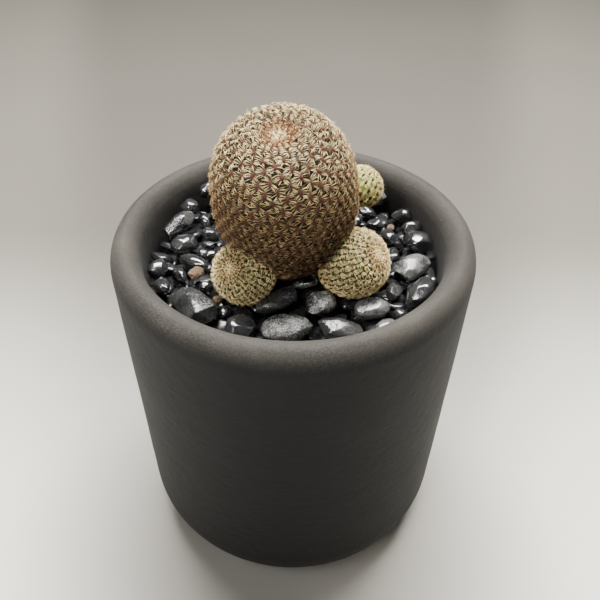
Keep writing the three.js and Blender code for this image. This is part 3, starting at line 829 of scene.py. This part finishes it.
def spines_piece(
    name, foot, heading, outward, sag, reach, thick, rise, droop, ages, random, material, slot
):
    """Many curved spines in one piece. Each starts at its foot along heading, raised by rise, leans back
    by droop at each third of its length, and bends towards sag."""
    count = len(foot)
    centres = [foot]
    for i in range(SPINE_RINGS - 1):
        lean = (rise - i * droop)[:, None]
        stride = (reach / (SPINE_RINGS - 1))[:, None]
        way = unit(heading + i * sag)
        centres.append(centres[-1] + stride * (way * np.cos(lean) + outward * np.sin(lean)))
    across = unit(np.cross(outward, heading))
    angle = 2 * math.pi * np.arange(SPINE_SIDES) / SPINE_SIDES
    ring = np.cos(angle)[:, None] * across[:, None] + np.sin(angle)[:, None] * outward[:, None]
    points = [
        centre[:, None] + (thick * taper)[:, None, None] * ring
        for centre, taper in zip(centres, SPINE_TAPER)
    ]
    points = np.stack(points, 1).reshape(-1, 3)
    stride = SPINE_RINGS * SPINE_SIDES
    faces = [repeated(f, count, stride) for f in spine_faces()]
    along = np.tile(np.repeat(np.linspace(0, 1, SPINE_RINGS), SPINE_SIDES), count)
    values = {
        "along": along,
        "age": np.repeat(ages, stride),
        "chance": np.repeat(random.random(count), stride),
    }
    return new_piece(name, points, faces, material, slot, values)


# How comb spines stand, in radians: the end ones fan out, and all rise from the skin and droop again, the
# young ones more steeply and less; each figure has a second for its random spread
FAN, FAN_SPREAD = math.radians(46), 0.1
RISE, RISE_SPREAD = math.radians(26), 0.14
DROOP, DROOP_SPREAD = math.radians(17), 0.04
YOUNG_RISE = math.radians(30)
YOUNG_DROOP = math.radians(6)
YOUNG_AGE = 0.12
COMB_SHARE = 0.85
COMB_SAG = 0.22


def comb_spines(stem, areoles, ages, each_side, felt_half, lift, reach, thick, lively, random):
    """Foot, heading, outward, sag, length, thickness, rise, droop and age of every comb spine."""
    place, downward, side, outward = (v[:, None, None] for v in stem.frames(*areoles))
    shape = (len(areoles[0]), 2, each_side)
    part = (np.arange(each_side) + 0.5) / each_side
    hand = np.array([-1.0, 1.0])[None, :, None]
    fan = FAN * (1 - 2 * part) + random.normal(0, FAN_SPREAD, shape)
    size = lively[:, None, None]
    heading = hand[..., None] * side * np.cos(fan)[..., None] - downward * np.sin(fan)[..., None]
    foot = place + downward * (felt_half * size * (2 * part - 1) * COMB_SHARE)[..., None]
    foot = foot + outward * (lift * (0.8 + 0.4 * random.random(shape)))[..., None]
    spans = reach * size * (0.8 + 0.3 * np.sin(math.pi * part)) * random.uniform(0.85, 1.12, shape)
    young = np.exp(-ages / YOUNG_AGE)[:, None, None]
    rise = RISE + YOUNG_RISE * young + random.normal(0, RISE_SPREAD, shape)
    droop = DROOP - YOUNG_DROOP * young + random.normal(0, DROOP_SPREAD, shape)
    flat = (-1, 3)
    full = (*shape, 3)
    return (
        foot.reshape(flat),
        unit(heading).reshape(flat),
        np.broadcast_to(outward, full).reshape(flat),
        np.broadcast_to(COMB_SAG * downward, full).reshape(flat),
        spans.ravel(),
        (thick * np.broadcast_to(0.6 + 0.4 * size, shape)).ravel(),
        rise.ravel(),
        droop.ravel(),
        np.broadcast_to(ages[:, None, None], shape).ravel(),
    )


def felt_piece(name, stem, areoles, ages, half, slim, lively, lift, random, material, slot):
    """The felt bars of the areoles, each a lumpy little cushion along its rib."""
    shape, faces = ball(1)
    place, downward, side, outward = stem.frames(*areoles)
    count = len(place)
    wide = slim * half * lively * random.uniform(0.85, 1.2, count)
    tall = 0.5 * half * lively * random.uniform(0.85, 1.2, count)
    swell = 1 + 0.16 * random.normal(0, 1, (count, len(shape)))
    local = shape[None] * swell[..., None]
    parts = (
        local[..., :1] * (half * lively)[:, None, None] * downward[:, None]
        + local[..., 1:2] * wide[:, None, None] * side[:, None]
        + local[..., 2:] * tall[:, None, None] * outward[:, None]
    )
    points = (place + outward * lift)[:, None] + parts
    values = {
        "age": np.repeat(ages, len(shape)),
        "chance": np.repeat(random.random(count), len(shape)),
    }
    return new_piece(
        name, points.reshape(-1, 3), [repeated(faces, count, len(shape))], material, slot, values
    )


HAIR_RADIUS = 0.055 * MM


def wool_piece(name, stem, radius, count, hair, random, material, slot):
    """A pad of short curled hairs over the growing tip."""
    down = radius * np.sqrt(random.random(count))
    azimuth = random.uniform(0, 2 * math.pi, count)
    place, downward, side, outward = stem.frames(down, azimuth)
    swirl = random.uniform(0, 2 * math.pi, count)
    heading = unit(downward * np.cos(swirl)[:, None] + side * np.sin(swirl)[:, None])
    heaped = 0.5 * hair * random.random(count) * (1 - down / radius)
    foot = place + outward * (0.35 * hair + heaped)[:, None]
    return spines_piece(
        name,
        foot,
        heading,
        outward,
        0 * outward,
        hair * random.uniform(0.6, 1.3, count),
        np.full(count, HAIR_RADIUS),
        random.uniform(0.4, 1.2, count),
        random.uniform(0.5, 1.1, count),
        down / radius,
        random,
        material,
        slot,
    )


# ---------------------------------------------------------------- stones

EDGE_WEAR = 0.14 * MM
SHOWN_DEPTH = 0.9 * MM
SMALLEST_AREA = 1e-12


class HeightMap:
    """Square cells over the pot's mouth: the top of what lies there and the underside of what hangs
    over it."""

    def __init__(self, half_width, cell, level):
        self.half_width = half_width
        self.cell = cell
        self.count = int(2 * half_width / cell)
        self.middles = (np.arange(self.count) + 0.5) * cell - half_width
        self.floor = np.full((self.count, self.count), level)
        self.ceiling = np.full((self.count, self.count), np.inf)

    def hang(self, mesh):
        """Lowers the ceiling to a mesh's underside."""
        mesh.calc_loop_triangles()
        points = np.array([v.co for v in mesh.vertices])
        for triangle in mesh.loop_triangles:
            a, b, c = points[list(triangle.vertices)]
            low = np.minimum(np.minimum(a, b), c)[:2]
            high = np.maximum(np.maximum(a, b), c)[:2]
            i0, j0 = np.maximum(((low + self.half_width) / self.cell - 0.5).astype(int), 0)
            i1, j1 = np.minimum(((high + self.half_width) / self.cell + 1.5).astype(int), self.count)
            x = self.middles[i0:i1, None]
            y = self.middles[None, j0:j1]
            area = (b[0] - a[0]) * (c[1] - a[1]) - (c[0] - a[0]) * (b[1] - a[1])
            if abs(area) < SMALLEST_AREA:
                continue
            v = ((x - a[0]) * (c[1] - a[1]) - (c[0] - a[0]) * (y - a[1])) / area
            w = ((b[0] - a[0]) * (y - a[1]) - (x - a[0]) * (b[1] - a[1])) / area
            height = a[2] + v * (b[2] - a[2]) + w * (c[2] - a[2])
            inside = (v >= 0) & (w >= 0) & (v + w <= 1)
            patch = self.ceiling[i0:i1, j0:j1]
            np.minimum(patch, np.where(inside, height, np.inf), out=patch)

    def drop(self, x, y, half, yaw, top, sink):
        """Drops a stone with half sizes half onto the floor map. Returns its height, or None if it has no
        room or would stand above top."""
        reach = max(half[0], half[1])
        low = ((np.array([x, y]) - reach + self.half_width) / self.cell).astype(int)
        high = ((np.array([x, y]) + reach + self.half_width) / self.cell).astype(int) + 1
        if low.min() < 0 or high.max() > self.count:
            return None
        dx = self.middles[low[0] : high[0], None] - x
        dy = self.middles[None, low[1] : high[1]] - y
        u = (dx * math.cos(yaw) + dy * math.sin(yaw)) / half[0]
        v = (dy * math.cos(yaw) - dx * math.sin(yaw)) / half[1]
        depth = 1 - u * u - v * v
        under = depth > 0
        bulge = half[2] * np.sqrt(np.maximum(depth, 0))
        floor = self.floor[low[0] : high[0], low[1] : high[1]]
        ceiling = self.ceiling[low[0] : high[0], low[1] : high[1]]
        z = np.max((floor + bulge)[under]) - sink
        if z + half[2] > top or np.any((z + bulge > ceiling)[under]):
            return None
        np.maximum(floor, np.where(under, z + bulge, -np.inf), out=floor)
        return z

    def shown(self, x, y, z):
        """True if a point is at about the top of the stones and nothing hangs over it."""
        i, j = (int((value + self.half_width) / self.cell) for value in (x, y))
        return z >= self.floor[i, j] - SHOWN_DEPTH


BED_SEED = 41
BED_HALF_WIDTH = 35 * MM
BED_CELL = 0.3 * MM
STONE_TRIES = 2600
STONE_WIDTHS = (0.48, 0.76)
STONE_THICKNESSES = (0.27, 0.4)
STONE_LEAN = 0.3
STONE_SINK = 0.12 * MM
WALL_REACH = 0.85


def lay_stones(bed, wall_radius):
    """Lays the loose stones. Returns rows of x, y, z, three half sizes, yaw, lean and whether it shows."""
    random = np.random.default_rng(BED_SEED)
    bed_map = HeightMap(BED_HALF_WIDTH, BED_CELL, bed.bed_floor)
    for node in (*PEBBLE_NODES, *GRAIN_NODES, *OFFSET_SIDES, "main_stem"):
        bed_map.hang(frame["nodes"][node].data)
    laid = []
    rounds = (
        (STONE_TRIES, bed.stone_longest, 0.6 * bed.stone_longest, bed.bed_top - 1.2 * MM),
        (STONE_TRIES, 0.85 * bed.stone_longest, 0.5 * bed.stone_longest, bed.bed_top - 0.2 * MM),
        (2 * STONE_TRIES, 0.6 * bed.stone_longest, bed.stone_shortest, bed.bed_top),
    )
    for tries, longest, shortest, top in rounds:
        for _ in range(tries):
            long_half = random.uniform(shortest, longest)
            width, thickness = random.uniform(*STONE_WIDTHS), random.uniform(*STONE_THICKNESSES)
            half = long_half * np.array([1, width, thickness])
            distance = (wall_radius - WALL_REACH * long_half) * math.sqrt(random.random())
            bearing = random.uniform(0, 2 * math.pi)
            x, y = distance * math.cos(bearing), distance * math.sin(bearing)
            yaw, lean = random.uniform(0, math.pi), random.normal(0, STONE_LEAN)
            z = bed_map.drop(x, y, half, yaw, top, STONE_SINK)
            if z is not None:
                laid.append((x, y, z, *half, yaw, lean))
    return [(*row, bed_map.shown(row[0], row[1], row[2] + row[5])) for row in laid]


# How a loose stone's ball is shaped: lumps of a height and size, and a power under 1 that squares it
STONE_LUMP = 0.2
STONE_LUMP_SIZE = 0.9
STONE_SQUARENESS = 0.7
STONE_SHAPES = 61
STONE_SHAPE_STEP = 7.3
LOOSE_FLATS_SEED = 900


def stone_points(shape, half, yaw, lean, seed):
    """A unit ball's points as one rounded, slightly faceted stone."""
    lump = 1 + STONE_LUMP * lumps(shape + STONE_SHAPE_STEP * seed, STONE_LUMP_SIZE, seed)
    local = np.sign(shape) * np.abs(shape) ** STONE_SQUARENESS * lump[:, None] * half
    turn = Matrix.Rotation(yaw, 3, "Z") @ Matrix.Rotation(lean, 3, "X")
    return cut_flats(local @ np.array(turn).T, LOOSE_FLATS_SEED + seed)


def loose_stones(name, rows, level, material):
    """The loose stones of some rows as one piece."""
    shape, faces = ball(level)
    points = [
        stone_points(shape, np.array(row[3:6]), row[6], row[7], i % STONE_SHAPES) + np.array(row[:3])
        for i, row in enumerate(rows)
    ]
    return new_piece(
        name, np.concatenate(points), [repeated(faces, len(rows), len(shape))], material, "pebble_bed"
    )


FLATS_SEED = 500
FLAT_COUNT = 7
FLAT_DEPTHS = (0.72, 0.9)
FLAT_UPWARD = (0, 0, 0.35)


def cut_flats(points, seed):
    """A stone's points pressed behind a few flat faces that meet in softly worn edges."""
    random = np.random.default_rng(FLATS_SEED + seed)
    middle = points.mean(axis=0)
    local = points - middle
    for _ in range(FLAT_COUNT):
        facing = unit(random.normal(0, 1, 3) + FLAT_UPWARD)
        depth = local @ facing
        flat = random.uniform(*FLAT_DEPTHS) * depth.max()
        beyond = np.maximum(depth - flat, 0)
        local = local - (beyond - EDGE_WEAR * (1 - np.exp(-beyond / EDGE_WEAR)))[:, None] * facing
    return local + middle


def tumbled(node, name, voxel, smoothing, relief, size, seed, material, slot):
    """A CAD stone remeshed finely, with its edges worn round and its faces made uneven."""
    source = frame["nodes"][node]
    copy = bpy.data.objects.new(name + "_raw", source.data.copy())
    bpy.context.scene.collection.objects.link(copy)
    remesh = copy.modifiers.new("remesh", "REMESH")
    remesh.mode = "VOXEL"
    remesh.voxel_size = voxel
    wear = copy.modifiers.new("wear", "SMOOTH")
    wear.iterations = smoothing
    wear.factor = 0.5
    bpy.context.view_layer.update()
    shaped = copy.evaluated_get(bpy.context.evaluated_depsgraph_get()).to_mesh()
    points = np.array([v.co for v in shaped.vertices])
    normals = np.array([v.normal for v in shaped.vertices])
    by_size = {}
    for face in shaped.polygons:
        by_size.setdefault(len(face.vertices), []).append(list(face.vertices))
    faces = [np.array(group) for group in by_size.values()]
    bpy.data.objects.remove(copy)
    points = cut_flats(points, seed)
    uneven = lumps(points, size, seed) + 0.4 * lumps(points, 0.4 * size, seed + 1)
    points = points + normals * (relief * uneven)[:, None]
    piece = new_piece(name, points, faces, material, slot)
    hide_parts(node)
    return piece


# ---------------------------------------------------------------- operators


# Each light's name, place, target, width and height, power in watts, spread in degrees and colour
LIGHTS = (
    ("overhead_light", (0.02, 0.19, 0.66), (0, 0, 0.05), (0.5, 0.22), 31.0, 180, (1, 0.985, 0.94)),
    ("window_light", (-0.2, -0.27, 0.62), (0, 0, 0.08), (0.2, 0.16), 1.6, 180, (1, 0.99, 0.98)),
    ("side_light", (0.6, 0.2, 0.3), (0, 0, 0.06), (0.3, 0.3), 0.9, 180, (1, 0.9, 0.78)),
    ("plant_light", (-0.24, -0.4, 0.5), (0, -0.006, 0.09), (0.09, 0.09), 0.05, 16, (1, 0.97, 0.92)),
)
SKY_COLOUR = (0.93, 0.94, 0.96, 1)
SKY_STRENGTH = 0.06
SENSOR_WIDTH = 36
FLOOR_RADII = (0.02, 2.4)
FLOOR_RINGS = 30
FLOOR_COLUMNS = 96


class CACTUS_OT_stage(Operator):
    """Set up the camera, the soft lights and the pale floor"""

    bl_idname = "cactus.stage"
    bl_label = "Stage"

    def execute(self, context):
        stage = context.scene.potted_cactus.stage
        rim = Vector((0, 0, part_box("pot")[1].z))
        self.add_camera(context.scene, stage, rim)
        self.add_floor(stage)
        for name, place, target, size, power, spread, colour in LIGHTS:
            self.add_light(name, Vector(place), Vector(target), size, power, math.radians(spread), colour)
        world = bpy.data.worlds.new("pale_room")
        world.use_nodes = True
        sky = world.node_tree.nodes["Background"]
        sky.inputs["Color"].default_value = SKY_COLOUR
        sky.inputs["Strength"].default_value = SKY_STRENGTH
        context.scene.world = world
        return {"FINISHED"}

    @staticmethod
    def add_camera(scene, stage, rim):
        """The camera, on a line that rises from the middle of the rim."""
        camera = bpy.data.objects.new("camera", bpy.data.cameras.new("camera"))
        scene.collection.objects.link(camera)
        pitch = -(stage.elevation + stage.tip_down)
        level_x, level_y = math.sin(stage.turn), math.cos(stage.turn)
        ahead = Vector((level_x * math.cos(pitch), level_y * math.cos(pitch), math.sin(pitch)))
        level = ahead.cross(Vector((0, 0, 1))).normalized()
        upright = level.cross(ahead)
        right = math.cos(stage.roll) * level + math.sin(stage.roll) * upright
        up = math.cos(stage.roll) * upright - math.sin(stage.roll) * level
        place = rim + stage.distance * Vector((0, -math.cos(stage.elevation), math.sin(stage.elevation)))
        camera.matrix_world = Matrix.Translation(place) @ Matrix((right, up, -ahead)).transposed().to_4x4()
        camera.data.lens = stage.lens
        camera.data.sensor_width = SENSOR_WIDTH
        camera.data.clip_start = 5 * MM
        camera.data.clip_end = 20
        scene.camera = camera

    @staticmethod
    def add_light(name, place, target, size, power, spread, colour):
        """A rectangular light that faces its target."""
        lamp = bpy.data.lights.new(name, "AREA")
        lamp.shape = "RECTANGLE"
        lamp.size, lamp.size_y = size
        lamp.energy = power
        lamp.spread = spread
        lamp.color = colour
        light = bpy.data.objects.new(name, lamp)
        light.location = place
        light.rotation_mode = "QUATERNION"
        light.rotation_quaternion = (target - place).to_track_quat("-Z", "Y")
        bpy.context.scene.collection.objects.link(light)

    @staticmethod
    def add_floor(stage):
        """The table top, which belongs to the stage and not to the object."""
        rings = np.linspace(*FLOOR_RADII, FLOOR_RINGS)
        points = turned(rings[::-1], np.zeros(FLOOR_RINGS), FLOOR_COLUMNS)
        middle = cap(FLOOR_COLUMNS, (FLOOR_RINGS - 1) * FLOOR_COLUMNS, True)
        faces = [turned_faces(FLOOR_RINGS, FLOOR_COLUMNS), middle]
        floor = new_piece("table_top", points, faces, floor_finish(stage), "soil")
        floor.parent = None
        del floor["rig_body"], floor["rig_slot"]


POT_COLUMNS = 288
# The sizes of the pot wall's slow and quick strays and of its throwing rings, and the height from the
# foot over which they fade in
STRAY_SIZE = 26 * MM
FINE_STRAY_SIZE = 7 * MM
RING_SIZE = 2.6 * MM
RING_STRETCH = (0.05, 0.05, 1)
STRAY_FADE = 6 * MM


class CACTUS_OT_pot(Operator):
    """Throw the black clay pot"""

    bl_idname = "cactus.pot"
    bl_label = "Pot"

    def execute(self, context):
        pot = context.scene.potted_cactus.pot
        low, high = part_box("pot")
        top, rim_radius = high.z, (high.x - low.x) / 2

        def outer(z):
            """Radius of the straight wall at a height."""
            return pot.foot_radius + (rim_radius - pot.foot_radius) * z / top

        rim_z = top - pot.rim_round
        heel_r = outer(pot.heel_round) - pot.heel_round
        floor_round = pot.floor + pot.inner_round
        inner_r = outer(floor_round) - pot.wall - pot.inner_round
        rim_r = outer(rim_z) - pot.wall / 2
        heel = arc(heel_r, pot.heel_round, pot.heel_round, pot.heel_round, -90, 0, 16)
        rim = arc(rim_r, rim_z, pot.wall / 2, pot.rim_round, 0, 180, 28)
        inside = arc(inner_r, floor_round, pot.inner_round, pot.inner_round, 0, -90, 12)
        hole_low, hole_top = [pot.drain_hole, pot.foot_recess], [pot.drain_hole, pot.floor]
        ring_in = [pot.foot_ring - pot.foot_recess, pot.foot_recess]
        ring = [pot.foot_ring, 0]
        profile = np.concatenate([
            [hole_low], line(hole_low, ring_in, 4), [ring_in], line(ring_in, ring, 2), [ring],
            line(ring, heel[0], 5), heel, line(heel[-1], rim[0], 44), rim,
            line(rim[-1], inside[0], 30), inside, line(inside[-1], hole_top, 6), [hole_top],
            line(hole_top, hole_low, 3),
        ])
        points = turned(profile[:, 0], profile[:, 1], POT_COLUMNS)
        stray = lumps(points, STRAY_SIZE, 3) + 0.35 * lumps(points, FINE_STRAY_SIZE, 4)
        rings = 0.3 * lumps(points * RING_STRETCH, RING_SIZE, 9)
        kept = soft_step(points[:, 2], 0, STRAY_FADE)[:, None]
        points = points + unit(points * [1, 1, 0]) * (pot.wobble * (stray + rings) * 0.6)[:, None] * kept
        faces = [turned_faces(len(profile), POT_COLUMNS, closed=True)]
        piece = new_piece("clay_pot", points, faces, clay_finish(pot), "black_clay")
        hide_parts("pot")
        return {"FINISHED"}


SOIL_COLUMNS = 144
SOIL_INSET = 0.4 * MM
SOIL_EDGE = 0.3 * MM
ROOT_HOLE_RADIUS = 6.5 * MM
CRUMB_SIZE = 1.6 * MM
CLOD_SIZE = 4 * MM
CRUMB_SHARE = 0.006
CRUMB_DEPTH = 0.25 * MM


class CACTUS_OT_soil(Operator):
    """Fill in the potting soil and finish the drain mesh"""

    bl_idname = "cactus.soil"
    bl_label = "Soil and drain mesh"

    def execute(self, context):
        settings = context.scene.potted_cactus
        bed, pot = settings.bed, settings.pot
        low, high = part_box("potting_soil")
        mesh_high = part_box("drain_mesh")[1]
        gap = low.z - pot.floor
        hollow = mesh_high.x + gap
        lift = mesh_high.z + gap
        round_r = high.x - pot.inner_round - SOIL_INSET
        lower = arc(round_r, low.z + pot.inner_round, pot.inner_round, pot.inner_round, -90, 0, 8)
        profile = np.concatenate([
            [[SOIL_EDGE, lift]], line([SOIL_EDGE, lift], [hollow, lift], 8),
            [[hollow, lift], [hollow, low.z]], line([hollow, low.z], lower[0], 8), lower,
            line(lower[-1], [high.x, high.z], 40), [[high.x - SOIL_EDGE, high.z]],
            line([high.x - SOIL_EDGE, high.z], [ROOT_HOLE_RADIUS, high.z], 26),
        ])
        points = turned(profile[:, 0], profile[:, 1], SOIL_COLUMNS)
        crumbs = lumps(points, CRUMB_SIZE, 21) + lumps(points, CLOD_SIZE, 22)
        points = points * (1 - CRUMB_SHARE * (1 + crumbs)[:, None] * [1, 1, 0])
        points[:, 2] -= np.where(points[:, 2] > high.z - 1 * MM, CRUMB_DEPTH * (1 + crumbs), 0)
        faces = capped_faces(len(profile), SOIL_COLUMNS)
        piece = new_piece("potting_soil_crumbs", points, faces, soil_finish(bed), "soil")
        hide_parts("potting_soil")
        screen = frame["nodes"]["drain_mesh"].data
        screen.materials.clear()
        screen.materials.append(drain_mesh_finish(bed))
        return {"FINISHED"}


GRIT_COLUMNS = 96
GRIT_INSET = 0.4 * MM
GRIT_RINGS = 40
GRIT_HEIGHT = 0.5 * MM
GRIT_SIZE = 1.5 * MM
FINE_GRIT_SIZE = 0.8 * MM
SHOWN_STONE_LEVEL = 3
HIDDEN_STONE_LEVEL = 2


class CACTUS_OT_gravel(Operator):
    """Lay the loose black stones under and between the top pebbles"""

    bl_idname = "cactus.gravel"
    bl_label = "Loose stones"

    def execute(self, context):
        bed = context.scene.potted_cactus.bed
        low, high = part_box("gravel_bed")
        material = stone_finish("loose_stone", bed)
        rows = lay_stones(bed, high.x)
        shown = [row for row in rows if row[-1]]
        hidden = [row for row in rows if not row[-1]]
        halves = (shown[::2], shown[1::2])
        pieces = [
            loose_stones(f"loose_stones_{i + 1}", half, SHOWN_STONE_LEVEL, material)
            for i, half in enumerate(halves)
        ]
        pieces.append(loose_stones("loose_stones_under", hidden, HIDDEN_STONE_LEVEL, material))
        inner, outer = 1 * MM, high.x - GRIT_INSET
        edge = low.z + 0.3 * MM
        radii = np.linspace(outer, inner, GRIT_RINGS)
        profile = np.concatenate([
            [[inner, low.z]], line([inner, low.z], [outer, low.z], 12), [[outer, low.z]],
            line([outer, edge], [outer, bed.bed_floor], 6),
            np.stack([radii, np.full(GRIT_RINGS, bed.bed_floor)], -1),
        ])
        points = turned(profile[:, 0], profile[:, 1], GRIT_COLUMNS)
        grit = lumps(points, GRIT_SIZE, 31) + 0.6 * lumps(points, FINE_GRIT_SIZE, 32)
        points[:, 2] += np.where(points[:, 2] > bed.bed_floor - 0.1 * MM, GRIT_HEIGHT * grit, 0)
        faces = capped_faces(len(profile), GRIT_COLUMNS)
        pieces.append(new_piece("packed_grit", points, faces, material, "pebble_bed"))
        for piece in pieces:
            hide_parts("gravel_bed")
        return {"FINISHED"}


# Voxel size, smoothing rounds, and height and size of the unevenness
PEBBLE_WEAR = (0.24 * MM, 4, 0.07 * MM, 1.9 * MM)
GRAIN_WEAR = (0.14 * MM, 2, 0.12 * MM, 0.6 * MM)
GRAIN_SEED = 60


class CACTUS_OT_pebbles(Operator):
    """Tumble and polish the large top pebbles and crumble the tan grains"""

    bl_idname = "cactus.pebbles"
    bl_label = "Top pebbles and grains"

    def execute(self, context):
        bed = context.scene.potted_cactus.bed
        gloss = stone_finish("glossy_stone", bed)
        polishes = {}
        for polish, nodes in PEBBLE_POLISHES.items():
            material = stone_finish(polish, bed)
            polishes.update({node: material for node in nodes})
        for i, node in enumerate(PEBBLE_NODES):
            name = node.replace("pebble", "stone")
            tumbled(node, name, *PEBBLE_WEAR, i, polishes.get(node, gloss), "polished_pebble")
        tan = grain_finish(bed)
        for i, node in enumerate(GRAIN_NODES):
            name = node.replace("substrate", "tan")
            tumbled(node, name, *GRAIN_WEAR, GRAIN_SEED + i, tan, "tan_grain")
        return {"FINISHED"}


# No areole is lower than this, where the stones hide the stems
AREOLE_FLOOR = 76 * MM
# The skin area round an areole at the tip and further down, and how far down it is full grown
MAIN_AREOLES = (1.15 * MM2, 4.6 * MM2, 10 * MM)
OFFSET_AREOLES = (0.6 * MM2, 2.9 * MM2, 7 * MM)
MAIN_STEM_SEED = 7
MAIN_SKIN_COLUMNS = 380
ROOT_RADII = np.array([1.2, 2.0, 3.0, 4.0, 4.8, 5.2, 5.4, 5.2, 4.6]) * MM
ROOT_LENGTH = 36 * MM
ROOT_ROWS = 90
ROOT_COLUMNS = 48


class CACTUS_OT_main_stem(Operator):
    """Grow the large ball stem with its areoles, comb spines, wool and root"""

    bl_idname = "cactus.main_stem"
    bl_label = "Main stem"

    def execute(self, context):
        settings = context.scene.potted_cactus
        plant, slot = settings.plant, "spined_stem"
        random = np.random.default_rng(MAIN_STEM_SEED)
        stem = Stem(settings.main_stem, "main_stem", plant.inset, MAIN_STEM_SIDES)
        areoles = stem.areoles(*MAIN_AREOLES, AREOLE_FLOOR)
        ages = areoles[0] / stem.down[-1]
        skin = skin_finish("old_skin", plant, 0.0)
        skin_piece(
            stem, "main_stem_skin", "main_stem", areoles, plant.tubercle, 1.0 * MM, MAIN_SKIN_COLUMNS, skin,
            slot,
        )
        lively = 0.5 + 0.5 * soft_step(areoles[0], 0, 9 * MM)
        swollen = 0.3 + 0.7 * soft_step(areoles[0], 1 * MM, 8 * MM)
        lift = plant.tubercle
        felt = felt_finish("felt", plant)
        felt_piece(
            "main_stem_felt", stem, areoles, ages, plant.felt_half, 0.46, swollen, lift + 0.12 * MM, random,
            felt, slot,
        )
        spines = comb_spines(
            stem, areoles, ages, plant.spines_each_side, plant.felt_half, lift + 0.08 * MM,
            plant.spine_length, plant.spine_radius, lively, random,
        )
        bone = spine_finish("comb_spine", plant, 0.38)
        upper = spines[-1] < 0.4
        for name, part in (("upper", upper), ("lower", ~upper)):
            spines_piece(f"main_stem_spines_{name}", *(row[part] for row in spines), random, bone, slot)
        wool = wool_finish("tip_wool", plant)
        wool_piece("main_stem_wool", stem, 1.15 * MM, 520, 0.7 * MM, random, wool, slot)
        self.add_root(plant, slot)
        return {"FINISHED"}

    @staticmethod
    def add_root(plant, slot):
        """The taproot, which runs down from the neck into the soil."""
        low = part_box("main_stem")[0].z
        heights = np.linspace(low, low + ROOT_LENGTH, len(ROOT_RADII))
        fine = np.linspace(0, len(ROOT_RADII) - 1, ROOT_ROWS)
        rows = np.arange(len(ROOT_RADII))
        radii = np.interp(fine, rows, ROOT_RADII)
        points = turned(radii, np.interp(fine, rows, heights), ROOT_COLUMNS)
        points = points + unit(points * [1, 1, 0]) * (0.3 * MM * lumps(points, 2.5 * MM, 51))[:, None]
        faces = capped_faces(ROOT_ROWS, ROOT_COLUMNS)
        new_piece("main_stem_root", points, faces, root_finish(plant), slot)


OFFSET_SEED = 100
OFFSET_SKIN_COLUMNS = 150
# The youngest offset, whose fresh green skin shows below the areoles, and the share of its length that
# has them
BARE_OFFSET = "offset_back_right"
BARE_SHARE = 0.7


class CACTUS_OT_offsets(Operator):
    """Grow the three small offsets round the main stem"""

    bl_idname = "cactus.offsets"
    bl_label = "Offsets"

    def execute(self, context):
        settings = context.scene.potted_cactus
        plant = settings.plant
        skin = skin_finish("offset_skin", plant, 0.1)
        fresh = skin_finish("fresh_skin", plant, 1.0)
        felt = felt_finish("young_felt", plant)
        bone = spine_finish("young_spine", plant, 1.05)
        wool = wool_finish("young_wool", plant)
        for i, (node, sides) in enumerate(OFFSET_SIDES.items()):
            bare = node == BARE_OFFSET
            slot = "young_offset" if bare else "spined_offset"
            random = np.random.default_rng(OFFSET_SEED + i)
            cover = 0.25 * MM if bare else 0.08 * MM
            stem = Stem(getattr(settings, node), node, cover, sides)
            areoles = stem.areoles(*OFFSET_AREOLES, AREOLE_FLOOR)
            ages = areoles[0] / stem.down[-1]
            material = fresh if bare else skin
            skin_piece(
                stem, f"{node}_skin", node, areoles, 0.3 * MM, 0.7 * MM, OFFSET_SKIN_COLUMNS, material, slot
            )
            lively = (0.5 if bare else 0.38) + 0.37 * soft_step(areoles[0], 0, 6 * MM)
            if bare:
                kept = ages < BARE_SHARE
                areoles, ages, lively = (areoles[0][kept], areoles[1][kept]), ages[kept], lively[kept]
            felt_piece(
                f"{node}_felt", stem, areoles, 0.6 * ages, plant.felt_half, 0.55, 0.8 * lively, 0.55 * MM,
                random, felt, slot,
            )
            spines = comb_spines(
                stem, areoles, 0.42 * ages, plant.spines_each_side, plant.felt_half, 0.34 * MM,
                plant.spine_length, 0.9 * plant.spine_radius, lively, random,
            )
            spines_piece(f"{node}_spines", *spines, random, bone, slot)
            wool_piece(f"{node}_wool", stem, 0.7 * MM, 140, 0.4 * MM, random, wool, slot)
        return {"FINISHED"}


OPERATORS = (
    CACTUS_OT_stage,
    CACTUS_OT_pot,
    CACTUS_OT_soil,
    CACTUS_OT_gravel,
    CACTUS_OT_pebbles,
    CACTUS_OT_main_stem,
    CACTUS_OT_offsets,
)


class CACTUS_PT_parts(Panel):
    """The parts of the potted cactus"""

    bl_idname = "CACTUS_PT_parts"
    bl_label = "Potted cactus"
    bl_space_type = "VIEW_3D"
    bl_region_type = "UI"
    bl_category = "Cactus"

    def draw(self, context):
        for operator in OPERATORS:
            self.layout.operator(operator.bl_idname)


GROUPS = (
    PotSettings,
    BedSettings,
    PlantSettings,
    StageSettings,
    MainStemSizes,
    FrontLeftSizes,
    FrontRightSizes,
    BackRightSizes,
    CactusSettings,
)


def register():
    """Registers the classes and the scene's settings."""
    for group in (*GROUPS, *OPERATORS, CACTUS_PT_parts):
        bpy.utils.register_class(group)
    bpy.types.Scene.potted_cactus = PointerProperty(type=CactusSettings)


def unregister():
    """Takes them away again."""
    del bpy.types.Scene.potted_cactus
    for group in reversed((*GROUPS, *OPERATORS, CACTUS_PT_parts)):
        bpy.utils.unregister_class(group)


def main():
    """Builds the potted cactus and writes down the boxes of the CAD model and of what shows."""
    register()
    for operator in OPERATORS:
        family, name = operator.bl_idname.split(".")
        getattr(getattr(bpy.ops, family), name)()
    bpy.context.view_layer.update()


if __name__ == "__main__":
    main()
